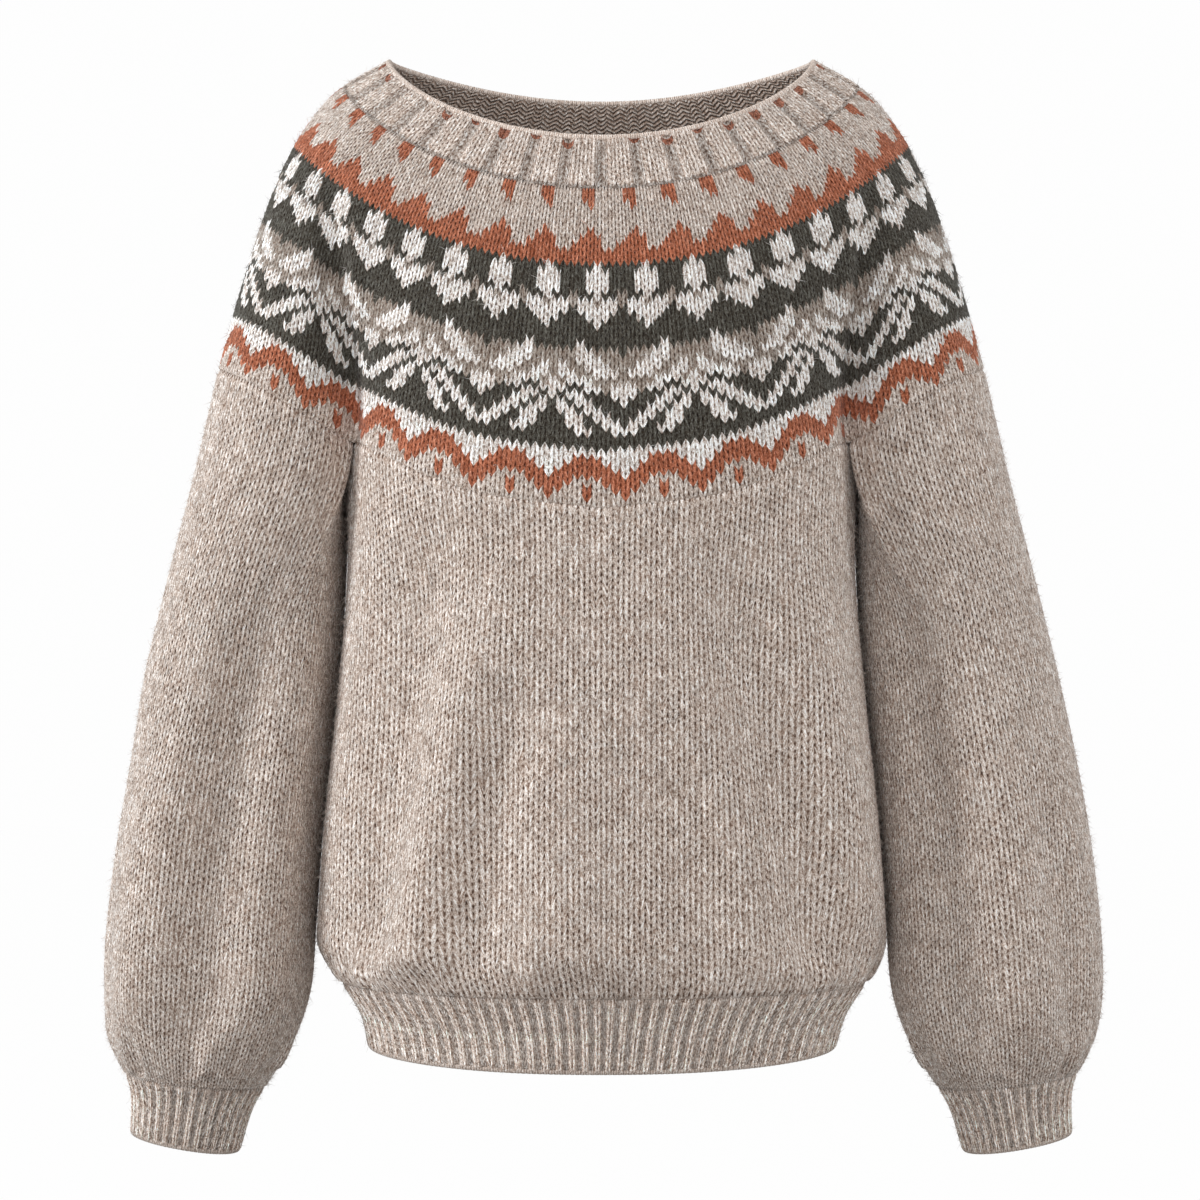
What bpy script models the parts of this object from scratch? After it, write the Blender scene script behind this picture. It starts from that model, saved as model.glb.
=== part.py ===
"""Round-yoke pullover in its worn form, hollow, as if it were on a general figure.

Metres, +Z up, the front faces -Y. The origin lies midway between the two shoulders,
on the line where the band round the neck rests on them. The pullover is knitted in
the round, so every piece is a tube or a ring of thin cloth: a ribbed neckband, the
yoke, the body with its hem rib, and two full sleeves with their cuffs.
"""
from collections import namedtuple
from math import asin, copysign, cos, exp, pi, sin

import bmesh
import bpy
from mathutils import Vector

# Cloth
WALL = 0.0030
RIB_WALL = 0.0036
RIB_RAISE = 0.0015
SEAM_GAP = 0.0003
ARM_CLEARANCE = 0.0014

# Heights are given as drops below the neck points, the two highest places
NECK_POINT_HEIGHT = 0.020

# How many ribs go round, and how finely each piece is divided
NECK_RIBS = 36
HEM_RIBS = 82
CUFF_RIBS = 28
FRONT_COLUMNS = 20
BACK_COLUMNS = 20
SIDE_COLUMNS = 16
UNDERARM_COLUMNS = 8
YOKE_SPANS = 10
BODY_SPANS = 12
SLEEVE_SPANS = 12
NECKBAND_SPANS = 3
RIB_SPANS = 2

# Neckband and yoke: one row for each ring, from the neck edge to the underarms
YokeRow = namedtuple("YokeRow", "along half_width side_drop front front_drop front_bend"
                                " back back_drop back_bend squareness")
YOKE_ROWS = (
    YokeRow(0.000, 0.1350, 0.0000, 0.0850, 0.0600, 1.35, 0.0720, 0.0170, 2.50, 2.00),
    YokeRow(0.143, 0.1628, 0.0165, 0.0985, 0.0925, 1.50, 0.0850, 0.0450, 2.30, 2.05),
    YokeRow(0.250, 0.1800, 0.0340, 0.1055, 0.1160, 1.65, 0.0955, 0.0665, 2.30, 2.10),
    YokeRow(0.400, 0.1987, 0.0650, 0.1130, 0.1500, 1.90, 0.1060, 0.0980, 2.40, 2.20),
    YokeRow(0.600, 0.2152, 0.1080, 0.1190, 0.1955, 2.20, 0.1130, 0.1430, 2.50, 2.30),
    YokeRow(0.800, 0.2288, 0.1520, 0.1225, 0.2410, 2.45, 0.1165, 0.1880, 2.60, 2.40),
    YokeRow(1.000, 0.2408, 0.1960, 0.1235, 0.2860, 2.70, 0.1180, 0.2330, 2.70, 2.50),
)
NECKBAND_END = 0.143

# Where the fold between body and sleeve starts in the yoke, and how late it deepens
FOLD_START = 0.25
FOLD_SHARPNESS = 1.3

# Body and hem rib: rings by their drop
BodyRow = namedtuple("BodyRow", "drop half_width middle_x front back squareness")
BODY_ROWS = (
    BodyRow(0.150, 0.1600, 0.0000, 0.1210, 0.1150, 2.60),
    BodyRow(0.245, 0.1610, 0.0000, 0.1230, 0.1175, 2.60),
    BodyRow(0.320, 0.1592, 0.0000, 0.1240, 0.1190, 2.55),
    BodyRow(0.400, 0.1655, 0.0000, 0.1265, 0.1210, 2.50),
    BodyRow(0.470, 0.1730, 0.0000, 0.1290, 0.1235, 2.45),
    BodyRow(0.530, 0.1775, 0.0000, 0.1310, 0.1250, 2.40),
    BodyRow(0.554, 0.1782, 0.0002, 0.1305, 0.1245, 2.40),
    BodyRow(0.568, 0.1725, 0.0012, 0.1265, 0.1205, 2.40),
    BodyRow(0.580, 0.1640, 0.0016, 0.1205, 0.1150, 2.40),
    BodyRow(0.600, 0.1530, 0.0014, 0.1150, 0.1100, 2.35),
    BodyRow(0.622, 0.1475, 0.0006, 0.1120, 0.1080, 2.30),
)
HEM_SEAM_DROP = 0.578
HEM_DROP = 0.622
HEM_SIDE_RISE = 0.004

# Where yoke, body and sleeve meet, at the front and at the back of each arm
FORK_X = 0.152
UNDERARM_DROP = 0.245
UNDERARM_SAG = 0.012

# The yoke's lower edge: its drop by distance from the middle, front and back. One
# turns into the other over this depth
EdgeRow = namedtuple("EdgeRow", "x front_drop back_drop")
EDGE_TURN = 0.120
EDGE_ROWS = (
    EdgeRow(0.000, 0.2860, 0.2330),
    EdgeRow(0.082, 0.2740, 0.2270),
    EdgeRow(0.152, 0.2430, 0.2160),
    EdgeRow(0.190, 0.2215, 0.2070),
    EdgeRow(0.214, 0.2075, 0.2010),
    EdgeRow(0.2408, 0.1960, 0.1960),
)

# The sleeve's top, round the outside of the arm
ARM_MIDDLE_X = 0.190
ARM_TOP_DEPTH = 0.068
ARM_INNER_REACH = 0.0665
ARM_SQUARENESS = 2.15

# Sleeve and cuff: slanted rings by their outer and inner ends. No inner end means
# that the sleeve hangs against the body, just clear of it.
ArmRow = namedtuple("ArmRow", "along outer_x outer_drop inner_x inner_drop depth middle_y")
ARM_ROWS = (
    ArmRow(0.000, 0.2408, 0.196, None, 0.243, 0.0670, 0.002),
    ArmRow(0.150, 0.2563, 0.260, None, 0.298, 0.0665, 0.006),
    ArmRow(0.310, 0.2745, 0.330, None, 0.362, 0.0665, 0.008),
    ArmRow(0.470, 0.2913, 0.400, None, 0.426, 0.0670, 0.008),
    ArmRow(0.630, 0.3051, 0.470, None, 0.491, 0.0680, 0.006),
    ArmRow(0.767, 0.3129, 0.530, None, 0.546, 0.0685, 0.004),
    ArmRow(0.868, 0.3153, 0.575, 0.1836, 0.588, 0.0660, 0.002),
    ArmRow(0.945, 0.3115, 0.610, 0.1950, 0.621, 0.0570, 0.000),
    ArmRow(1.000, 0.2998, 0.636, 0.2110, 0.646, 0.0430, -0.001),
    ArmRow(1.040, 0.2960, 0.650, 0.2195, 0.661, 0.0370, -0.001),
    ArmRow(1.095, 0.2963, 0.673, 0.2270, 0.6855, 0.0340, -0.001),
)
CUFF_END = 1.095

# The sleeve's rings lie closer together towards the cuff, where it curves most
SLEEVE_CROWDING = 1.25

# The part of the sleeve's length in which its top turns into a plain round ring,
# and the part above the cuff in which its folds die away
SLEEVE_ROUNDED = 0.34
SLEEVE_FOLD_FADE = 0.08

# How far each side of a seam its form is read, of the length of a piece or in metres
SEAM_STEP = 0.02
HEM_SEAM_STEP = 0.004

# A point this far below the middle of a yoke ring is inside the garment
YOKE_INSIDE = 0.15

# Folds grow over this part of the body's height, and die away over this length
# above the ribs
FOLD_GROWTH = 0.18
FOLD_FADE = 0.025

# Large soft folds, each a straight trough (raise below 0) or ridge, from its upper
# end to its lower end, across x or across the angle round the sleeve
Fold = namedtuple("Fold", "start start_drop end end_drop width raise_by")
FRONT_FOLDS = (
    Fold(-0.105, 0.300, -0.150, 0.560, 0.021, -0.0080),
    Fold(-0.064, 0.350, -0.116, 0.570, 0.022, 0.0050),
    Fold(-0.058, 0.400, -0.078, 0.560, 0.020, -0.0045),
    Fold(-0.022, 0.380, -0.020, 0.570, 0.026, 0.0030),
    Fold(0.045, 0.420, 0.062, 0.570, 0.024, -0.0025),
    Fold(0.078, 0.320, 0.136, 0.565, 0.022, -0.0065),
    Fold(0.120, 0.330, 0.163, 0.540, 0.020, 0.0035),
)
BACK_FOLDS = (
    Fold(-0.095, 0.290, -0.140, 0.560, 0.022, -0.0070),
    Fold(-0.030, 0.360, -0.046, 0.570, 0.026, 0.0040),
    Fold(0.014, 0.330, 0.010, 0.565, 0.022, -0.0050),
    Fold(0.060, 0.380, 0.082, 0.570, 0.024, 0.0040),
    Fold(0.092, 0.300, 0.146, 0.555, 0.022, -0.0070),
)
# Angles round the sleeve are in radians, 0 outside and pi / 2 at the front
RIGHT_SLEEVE_FOLDS = (
    Fold(1.75, 0.340, 1.62, 0.610, 0.30, -0.0070),
    Fold(1.15, 0.430, 1.00, 0.600, 0.30, 0.0030),
    Fold(2.35, 0.330, 2.20, 0.600, 0.28, 0.0030),
    Fold(-1.40, 0.350, -1.60, 0.600, 0.32, -0.0060),
    Fold(0.20, 0.420, 0.35, 0.600, 0.30, -0.0030),
)
LEFT_SLEEVE_FOLDS = (
    Fold(2.20, 0.320, 2.05, 0.610, 0.30, -0.0060),
    Fold(1.55, 0.400, 1.45, 0.600, 0.32, 0.0035),
    Fold(1.10, 0.460, 0.85, 0.610, 0.26, -0.0040),
    Fold(-1.60, 0.340, -1.45, 0.600, 0.32, -0.0060),
    Fold(-0.50, 0.440, -0.35, 0.600, 0.30, 0.0030),
)

HEATHER_BEIGE = (0.42, 0.35, 0.29, 1.0)
YOKE_BAND = (0.10, 0.11, 0.10, 1.0)
RIB_BEIGE = (0.45, 0.38, 0.32, 1.0)
WOOL_ROUGHNESS = 0.95

# Steps that a curve is read in, for a whole ring and for a run along part of one
PROFILE_STEPS = 1440
RUN_STEPS = 240


def smooth_step(value):
    value = min(max(value, 0.0), 1.0)
    return value * value * (3.0 - 2.0 * value)


def signed_power(value, power):
    return copysign(abs(value) ** power, value)


def height(drop):
    return NECK_POINT_HEIGHT - drop


def read_row(rows, key, at, column):
    """A column of a table at any place between its rows, on a smooth curve."""
    keys = [getattr(row, key) for row in rows]
    values = [getattr(row, column) for row in rows]
    at = min(max(at, keys[0]), keys[-1])
    i = max(k for k in range(len(keys) - 1) if keys[k] <= at)

    def slope(k):
        low, high = max(k - 1, 0), min(k + 1, len(keys) - 1)
        return (values[high] - values[low]) / (keys[high] - keys[low])

    span = keys[i + 1] - keys[i]
    t = (at - keys[i]) / span
    rise = values[i + 1] - values[i]
    start, end = slope(i) * span, slope(i + 1) * span
    return values[i] + t * start + t * t * (3 * rise - 2 * start - end) \
        + t ** 3 * (start + end - 2 * rise)


def even_places(points, count):
    """Count + 1 places, evenly spaced by length, along a run of close points."""
    lengths = [0.0]
    for before, after in zip(points, points[1:]):
        lengths.append(lengths[-1] + (after - before).length)
    places, i = [], 0
    for k in range(count + 1):
        want = lengths[-1] * k / count
        while i < len(points) - 2 and lengths[i + 1] < want:
            i += 1
        part = (want - lengths[i]) / (lengths[i + 1] - lengths[i])
        places.append(i + part)
    return places


def at_place(points, place):
    i = min(int(place), len(points) - 2)
    return points[i].lerp(points[i + 1], place - i)


def edge_drop(x, y):
    """Drop of the cut between the yoke and what hangs from it, over the plan."""
    x = abs(x)
    front = read_row(EDGE_ROWS, "x", x, "front_drop")
    back = read_row(EDGE_ROWS, "x", x, "back_drop")
    return back + (front - back) * smooth_step(0.5 - y / EDGE_TURN)


def body_plan(angle, drop):
    """A point of the body's outline; angle 0 is the front middle, pi / 2 is at +X."""
    power = 2.0 / read_row(BODY_ROWS, "drop", drop, "squareness")
    across = read_row(BODY_ROWS, "drop", drop, "half_width") * signed_power(sin(angle), power)
    across += read_row(BODY_ROWS, "drop", drop, "middle_x")
    side = "front" if cos(angle) > 0 else "back"
    out = read_row(BODY_ROWS, "drop", drop, side) * signed_power(cos(angle), power)
    rise = HEM_SIDE_RISE * sin(angle) ** 2
    rise *= smooth_step((drop - HEM_SEAM_DROP) / (HEM_DROP - HEM_SEAM_DROP))
    return Vector((across, -out, height(drop) + rise))


def fork_angle():
    """Angle of the place where the body meets yoke and sleeve."""
    drop = read_row(EDGE_ROWS, "x", FORK_X, "front_drop")
    squareness = read_row(BODY_ROWS, "drop", drop, "squareness")
    half_width = read_row(BODY_ROWS, "drop", drop, "half_width")
    return asin((FORK_X / half_width) ** (squareness / 2.0))


def body_top_drop(angle):
    """Drop of the body's top edge, which sags a little under the arm."""
    flat = body_plan(angle, UNDERARM_DROP)
    flat = body_plan(angle, edge_drop(flat.x, flat.y))
    drop = edge_drop(flat.x, flat.y)
    if abs(flat.x) > FORK_X:
        reach = abs(body_plan(fork_angle(), UNDERARM_DROP).y)
        drop += UNDERARM_SAG * max(0.0, 1.0 - (flat.y / reach) ** 2)
    return drop


def body_run(start, end, spread=0.0):
    """The body's top edge from one angle to another, as close points."""
    points = []
    for k in range(RUN_STEPS + 1):
        angle = start + (end - start) * k / RUN_STEPS
        point = body_plan(angle, body_top_drop(angle))
        points.append(point + Vector((copysign(spread, point.x), 0.0, 0.0)))
    return points


def arm_side_run(side, back):
    """The sleeve's top edge from the outside of the arm to the fork."""
    points = []
    power = 2.0 / ARM_SQUARENESS
    start = pi / 3
    end = pi / 2 + asin((ARM_MIDDLE_X - FORK_X) / ARM_INNER_REACH)
    fork = pi - fork_angle() if back else fork_angle()
    fork_depth = abs(body_plan(fork, body_top_drop(fork)).y)
    free_depth = ARM_TOP_DEPTH * sin(end) ** power
    outer_reach = YOKE_ROWS[-1].half_width - ARM_MIDDLE_X
    for k in range(RUN_STEPS + 1):
        angle = end * k / RUN_STEPS
        if angle < pi / 2:
            x = ARM_MIDDLE_X + outer_reach * cos(angle) ** power
        else:
            x = ARM_MIDDLE_X + ARM_INNER_REACH * cos(angle)
        y = ARM_TOP_DEPTH * sin(angle) ** power
        y += (fork_depth - free_depth) * smooth_step((angle - start) / (end - start))
        y = y if back else -y
        points.append(Vector((side * x, y, height(edge_drop(x, y)))))
    return points


def spaced(points, count):
    return [at_place(points, place) for place in even_places(points, count)]


def yoke_edge():
    """The yoke's lower edge, one point a column, from the front middle towards +X."""
    fork = fork_angle()
    front = spaced(body_run(-fork, fork), FRONT_COLUMNS)
    back = spaced(body_run(pi - fork, pi + fork), BACK_COLUMNS)
    right = spaced(arm_side_run(1, False)[::-1] + arm_side_run(1, True)[1:], SIDE_COLUMNS)
    left = spaced(arm_side_run(-1, True)[::-1] + arm_side_run(-1, False)[1:], SIDE_COLUMNS)
    ring = front[FRONT_COLUMNS // 2:-1] + right[:-1] + back[:-1] + left[:-1]
    return ring + front[:FRONT_COLUMNS // 2]


def round_ring(along, count):
    """A ring of the yoke as it would be with no fold between body and sleeve."""
    value = {name: read_row(YOKE_ROWS, "along", along, name) for name in YokeRow._fields}
    power = 2.0 / value["squareness"]
    points = []
    for k in range(PROFILE_STEPS + 1):
        angle = 2 * pi * k / PROFILE_STEPS
        side = "front" if cos(angle) > 0 else "back"
        x = value["half_width"] * signed_power(sin(angle), power)
        y = -value[side] * signed_power(cos(angle), power)
        low = value[side + "_drop"] - value["side_drop"]
        drop = value["side_drop"] + low * abs(cos(angle)) ** value[side + "_bend"]
        points.append(Vector((x, y, height(drop))))
    return spaced(points, count)[:-1]


def yoke_columns():
    return FRONT_COLUMNS + BACK_COLUMNS + 2 * SIDE_COLUMNS


def yoke_ring(along, count):
    """A ring of the neckband or the yoke, with the fold that grows towards the arm."""
    ring = round_ring(along, count)
    if count != yoke_columns() or along <= FOLD_START:
        return ring
    weight = smooth_step((along - FOLD_START) / (1.0 - FOLD_START)) ** FOLD_SHARPNESS
    for point, wanted, plain in zip(ring, yoke_edge(), round_ring(1.0, count)):
        point += (wanted - plain) * weight
    return ring


def fold_raise(folds, place, drop):
    """How far the folds lift the cloth, each fading in and out past its two ends."""
    total = 0.0
    for fold in folds:
        t = (drop - fold.start_drop) / (fold.end_drop - fold.start_drop)
        middle = fold.start + (fold.end - fold.start) * t
        fade = smooth_step((t + 0.25) / 0.55) * smooth_step((1.12 - t) / 0.22)
        total += fold.raise_by * fade * exp(-((place - middle) / fold.width) ** 2)
    return total


def body_point(angle, drop, part):
    """A point of the body, part of the way down from the yoke to the hem seam."""
    point = body_plan(angle, drop)
    folds = FRONT_FOLDS if cos(angle) > 0 else BACK_FOLDS
    fade = smooth_step(abs(cos(angle)) * 2.0) * smooth_step(part / FOLD_GROWTH)
    fade *= smooth_step((HEM_SEAM_DROP - drop) / FOLD_FADE)
    lift = fold_raise(folds, point.x, drop) * fade
    outward = Vector((sin(angle), -cos(angle), 0.0))
    return point + outward * lift


def body_angles():
    """The angle of each of the body's columns, and its drop at the top."""
    fork = fork_angle()
    runs = ((-fork, fork, FRONT_COLUMNS), (fork, pi - fork, UNDERARM_COLUMNS),
            (pi - fork, pi + fork, BACK_COLUMNS), (pi + fork, 2 * pi - fork, UNDERARM_COLUMNS))
    angles, drops = [], []
    for start, end, count in runs:
        points = body_run(start, end)
        for place in even_places(points, count)[:-1]:
            angles.append(start + (end - start) * place / (len(points) - 1))
            drops.append(NECK_POINT_HEIGHT - at_place(points, place).z)
    return angles, drops


def body_rings():
    angles, drops = body_angles()
    rings = []
    for i in range(BODY_SPANS + 1):
        part = i / BODY_SPANS
        rings.append([body_point(angle, drop + (HEM_SEAM_DROP - drop) * part, part)
                      for angle, drop in zip(angles, drops)])
    return rings


def ring_angles(ring_point, count):
    """The angles of evenly spaced points round a ring."""
    fine = [ring_point(2 * pi * k / PROFILE_STEPS) for k in range(PROFILE_STEPS + 1)]
    return [2 * pi * place / PROFILE_STEPS for place in even_places(fine, count)[:-1]]


def arm_value(along, column):
    if column != "inner_x":
        return read_row(ARM_ROWS, "along", along, column)
    rows = []
    for row in ARM_ROWS:
        inner = row.inner_x
        if inner is None:
            inner = read_row(BODY_ROWS, "drop", row.inner_drop, "half_width") + ARM_CLEARANCE
        rows.append(row._replace(inner_x=inner))
    return read_row(rows, "along", along, "inner_x")


def arm_point(angle, along, side):
    """A point of the plain sleeve; angle 0 is outside and pi / 2 is at the front."""
    outer = Vector((arm_value(along, "outer_x"), 0.0, height(arm_value(along, "outer_drop"))))
    inner = Vector((arm_value(along, "inner_x"), 0.0, height(arm_value(along, "inner_drop"))))
    power = 2.0 / ARM_SQUARENESS
    point = (outer + inner) / 2 + (outer - inner) / 2 * signed_power(cos(angle), power)
    depth = arm_value(along, "depth")
    point.y = arm_value(along, "middle_y") - depth * signed_power(sin(angle), power)
    point.x *= side
    return point


def arm_top(side):
    """The sleeve's top edge: round the arm, then under it beside the body's edge."""
    fork = fork_angle()
    front = spaced(arm_side_run(side, False), SIDE_COLUMNS // 2)
    back = spaced(arm_side_run(side, True)[::-1], SIDE_COLUMNS // 2)
    start, end = (fork, pi - fork) if side > 0 else (-fork, fork - pi)
    under = spaced(body_run(start, end, 2 * SEAM_GAP), UNDERARM_COLUMNS)
    return front[:-1] + under[:-1] + back[:-1]


def arm_rings(side):
    folds = LEFT_SLEEVE_FOLDS if side > 0 else RIGHT_SLEEVE_FOLDS
    count = SIDE_COLUMNS + UNDERARM_COLUMNS
    angles = [2 * pi * k / count for k in range(count)]
    top = arm_top(side)
    plain_top = [arm_point(angle, 0.0, side) for angle in angles]
    rings = []
    for i in range(SLEEVE_SPANS + 1):
        along = 1.0 - (1.0 - i / SLEEVE_SPANS) ** SLEEVE_CROWDING
        hold = 1.0 - smooth_step(along / SLEEVE_ROUNDED)
        ring = []
        for angle, wanted, plain in zip(angles, top, plain_top):
            point = arm_point(angle, along, side) + (wanted - plain) * hold
            place = angle if angle < pi * 1.25 else angle - 2 * pi
            fade = (1.0 - hold) * smooth_step((1.0 - along) / SLEEVE_FOLD_FADE)
            lift = fold_raise(folds, place, NECK_POINT_HEIGHT - point.z) * fade
            point += Vector((side * cos(angle), -sin(angle), 0.0)) * lift
            ring.append(point)
        rings.append(ring)
    return rings


def ring_middle(ring):
    return sum(ring, Vector((0.0, 0.0, 0.0))) / len(ring)


def turned_outward(normal, point, axis):
    return normal if normal.dot(point - axis) > 0 else -normal


def outward_normals(rings, inside_drop=0.0):
    """A normal at each point, away from a point inside, below each ring's middle."""
    normals = []
    last = len(rings) - 1
    for i, ring in enumerate(rings):
        axis = ring_middle(ring) - Vector((0.0, 0.0, inside_drop))
        row = []
        for k, point in enumerate(ring):
            round_it = ring[(k + 1) % len(ring)] - ring[k - 1]
            along = rings[min(i + 1, last)][k] - rings[max(i - 1, 0)][k]
            row.append(turned_outward(round_it.cross(along).normalized(), point, axis))
        normals.append(row)
    return normals


def seam_normals(ring_at, place, step, inside_drop=0.0):
    """Normals on a seam, the same for both pieces, from the form on both sides of it."""
    rings = [ring_at(place - step), ring_at(place), ring_at(place + step)]
    return outward_normals(rings, inside_drop)[1]


def level_normals(ring):
    """Normals with no rise, for an edge that is cut level through the wall."""
    row = []
    for k, point in enumerate(ring):
        round_it = ring[(k + 1) % len(ring)] - ring[k - 1]
        normal = Vector((round_it.y, -round_it.x, 0.0)).normalized()
        axis = ring_middle(ring)
        axis.z = point.z
        row.append(turned_outward(normal, point, axis))
    return row


def tube(name, collection, material, outer, inner):
    """One closed wall between an outer and an inner set of rings."""
    mesh = bpy.data.meshes.new(name)
    shape = bmesh.new()
    walls = [[[shape.verts.new(point) for point in ring] for ring in rings]
             for rings in (outer, inner)]
    count = len(outer[0])
    for rings in walls:
        for upper, lower in zip(rings, rings[1:]):
            for k in range(count):
                following = (k + 1) % count
                shape.faces.new((upper[k], upper[following], lower[following], lower[k]))
    for end in (0, -1):
        first, second = walls[0][end], walls[1][end]
        for k in range(count):
            following = (k + 1) % count
            shape.faces.new((first[k], first[following], second[following], second[k]))
    bmesh.ops.recalc_face_normals(shape, faces=shape.faces)
    shape.to_mesh(mesh)
    shape.free()
    mesh.shade_smooth()
    mesh.materials.append(material)
    piece = bpy.data.objects.new(name, mesh)
    collection.objects.link(piece)
    return piece


def plain_wall(rings, normals):
    return [[point - normal * WALL for point, normal in zip(ring, row)]
            for ring, row in zip(rings, normals)]


def ribbed_walls(rings, normals, count):
    """Outer points with a gutter at each third column, over a plain inside."""
    outer, inner = [], []
    for ring, row in zip(rings, normals):
        outer.append([point - normal * (RIB_RAISE if k % 3 == 0 else 0.0)
                      for k, (point, normal) in enumerate(zip(ring, row))])
        inner.append([point - normal * RIB_WALL for point, normal in zip(ring, row)])
    return outer, inner


def shortened(rings, at_start, at_end):
    """The same rings with the first and last drawn in along the cloth for the seams."""
    rings = [[point.copy() for point in ring] for ring in rings]
    for near, following, cut in ((0, 1, at_start), (-1, -2, at_end)):
        for point, inward in zip(rings[near], [p.copy() for p in rings[following]]):
            point += (inward - point).normalized() * cut
    return rings


def make_neckband(collection, material):
    count = 3 * NECK_RIBS
    places = [NECKBAND_END * i / NECKBAND_SPANS for i in range(NECKBAND_SPANS + 1)]
    rings = shortened([yoke_ring(place, count) for place in places], 0.0, SEAM_GAP / 2)
    normals = outward_normals(rings, YOKE_INSIDE)
    normals[-1] = seam_normals(lambda place: yoke_ring(place, count), NECKBAND_END,
                               SEAM_STEP, YOKE_INSIDE)
    tube("neckband", collection, material, *ribbed_walls(rings, normals, count))


def make_yoke(collection, material):
    count = yoke_columns()
    places = [NECKBAND_END + (1.0 - NECKBAND_END) * i / YOKE_SPANS
              for i in range(YOKE_SPANS + 1)]
    rings = shortened([yoke_ring(place, count) for place in places], SEAM_GAP / 2, 0.0)
    normals = outward_normals(rings, YOKE_INSIDE)
    normals[0] = seam_normals(lambda place: yoke_ring(place, count), NECKBAND_END,
                              SEAM_STEP, YOKE_INSIDE)
    normals[-1] = level_normals(rings[-1])
    inner = plain_wall(rings, normals)
    for point in rings[-1] + inner[-1]:
        point.z = height(edge_drop(point.x, point.y)) + SEAM_GAP / 2
    tube("yoke", collection, material, rings, inner)


def make_body(collection, material):
    rings = shortened(body_rings(), 0.0, SEAM_GAP / 2)
    normals = outward_normals(rings)
    angles = body_angles()[0]
    normals[0] = level_normals(rings[0])
    normals[-1] = seam_normals(lambda drop: [body_plan(angle, drop) for angle in angles],
                               HEM_SEAM_DROP, HEM_SEAM_STEP)
    inner = plain_wall(rings, normals)
    for outside, inside in zip(rings[0], inner[0]):
        outside.z -= SEAM_GAP / 2
        if abs(outside.x) <= FORK_X + SEAM_GAP / 2:
            inside.z = height(edge_drop(inside.x, inside.y)) - SEAM_GAP / 2
        else:
            inside.z = outside.z
    tube("body", collection, material, rings, inner)


def make_hem_rib(collection, material):
    count = 3 * HEM_RIBS
    drops = [HEM_SEAM_DROP + (HEM_DROP - HEM_SEAM_DROP) * i / RIB_SPANS
             for i in range(RIB_SPANS + 1)]
    angles = ring_angles(lambda angle: body_plan(angle, HEM_SEAM_DROP), count)
    rings = [[body_plan(angle, drop) for angle in angles] for drop in drops]
    rings = shortened(rings, SEAM_GAP / 2, 0.0)
    normals = outward_normals(rings)
    normals[0] = seam_normals(lambda drop: [body_plan(angle, drop) for angle in angles],
                              HEM_SEAM_DROP, HEM_SEAM_STEP)
    tube("hem_rib", collection, material, *ribbed_walls(rings, normals, count))


def make_sleeve(side, collection, material):
    rings = shortened(arm_rings(side), 0.0, SEAM_GAP / 2)
    normals = outward_normals(rings)
    normals[0] = level_normals(rings[0])
    angles = [2 * pi * k / len(rings[0]) for k in range(len(rings[0]))]
    normals[-1] = seam_normals(lambda along: [arm_point(angle, along, side) for angle in angles],
                               1.0, SEAM_STEP)
    inner = plain_wall(rings, normals)
    half = SIDE_COLUMNS // 2
    for k, (outside, inside) in enumerate(zip(rings[0], inner[0])):
        outside.z -= SEAM_GAP / 2
        if half < k < half + UNDERARM_COLUMNS:
            inside.z = outside.z
        else:
            inside.z = height(edge_drop(inside.x, inside.y)) - SEAM_GAP / 2
    name = "sleeve_left" if side > 0 else "sleeve_right"
    tube(name, collection, material, rings, inner)


def make_cuff(side, collection, material):
    count = 3 * CUFF_RIBS
    places = [1.0 + (CUFF_END - 1.0) * i / RIB_SPANS for i in range(RIB_SPANS + 1)]
    angles = ring_angles(lambda angle: arm_point(angle, 1.0, side), count)
    rings = [[arm_point(angle, place, side) for angle in angles] for place in places]
    rings = shortened(rings, SEAM_GAP / 2, 0.0)
    normals = outward_normals(rings)
    normals[0] = seam_normals(lambda along: [arm_point(angle, along, side) for angle in angles],
                              1.0, SEAM_STEP)
    name = "cuff_left" if side > 0 else "cuff_right"
    tube(name, collection, material, *ribbed_walls(rings, normals, count))


def make_material(name, colour):
    material = bpy.data.materials.new(name)
    material.use_nodes = True
    shader = material.node_tree.nodes["Principled BSDF"]
    shader.inputs["Base Color"].default_value = colour
    shader.inputs["Roughness"].default_value = WOOL_ROUGHNESS
    shader.inputs["Metallic"].default_value = 0.0
    material.diffuse_color = colour
    return material


def main():
    for old in list(bpy.data.objects):
        bpy.data.objects.remove(old)
    collection = bpy.data.collections.new("sweater")
    bpy.context.scene.collection.children.link(collection)
    make_neckband(collection, make_material("neckband wool", RIB_BEIGE))
    make_yoke(collection, make_material("colourwork wool", YOKE_BAND))
    make_body(collection, make_material("body wool", HEATHER_BEIGE))
    make_hem_rib(collection, make_material("hem rib wool", RIB_BEIGE))
    for side, label in ((1, "left"), (-1, "right")):
        make_sleeve(side, collection, make_material(label + " sleeve wool", HEATHER_BEIGE))
        make_cuff(side, collection, make_material(label + " cuff wool", RIB_BEIGE))


main()
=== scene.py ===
# %% [markdown]
# # A round-yoke pullover, stitch by stitch
# The garment is knitted in the round from a fuzzy heather wool, with a patterned yoke, full
# sleeves and ribbed edges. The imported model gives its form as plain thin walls. This lesson
# dresses each wall in real stitches, made at the size of the yarn.
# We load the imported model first. It stays where it is, and everything else is placed by it.
# %% Load the model
from collections import namedtuple
from functools import partial
from math import asin, pi, radians

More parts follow.
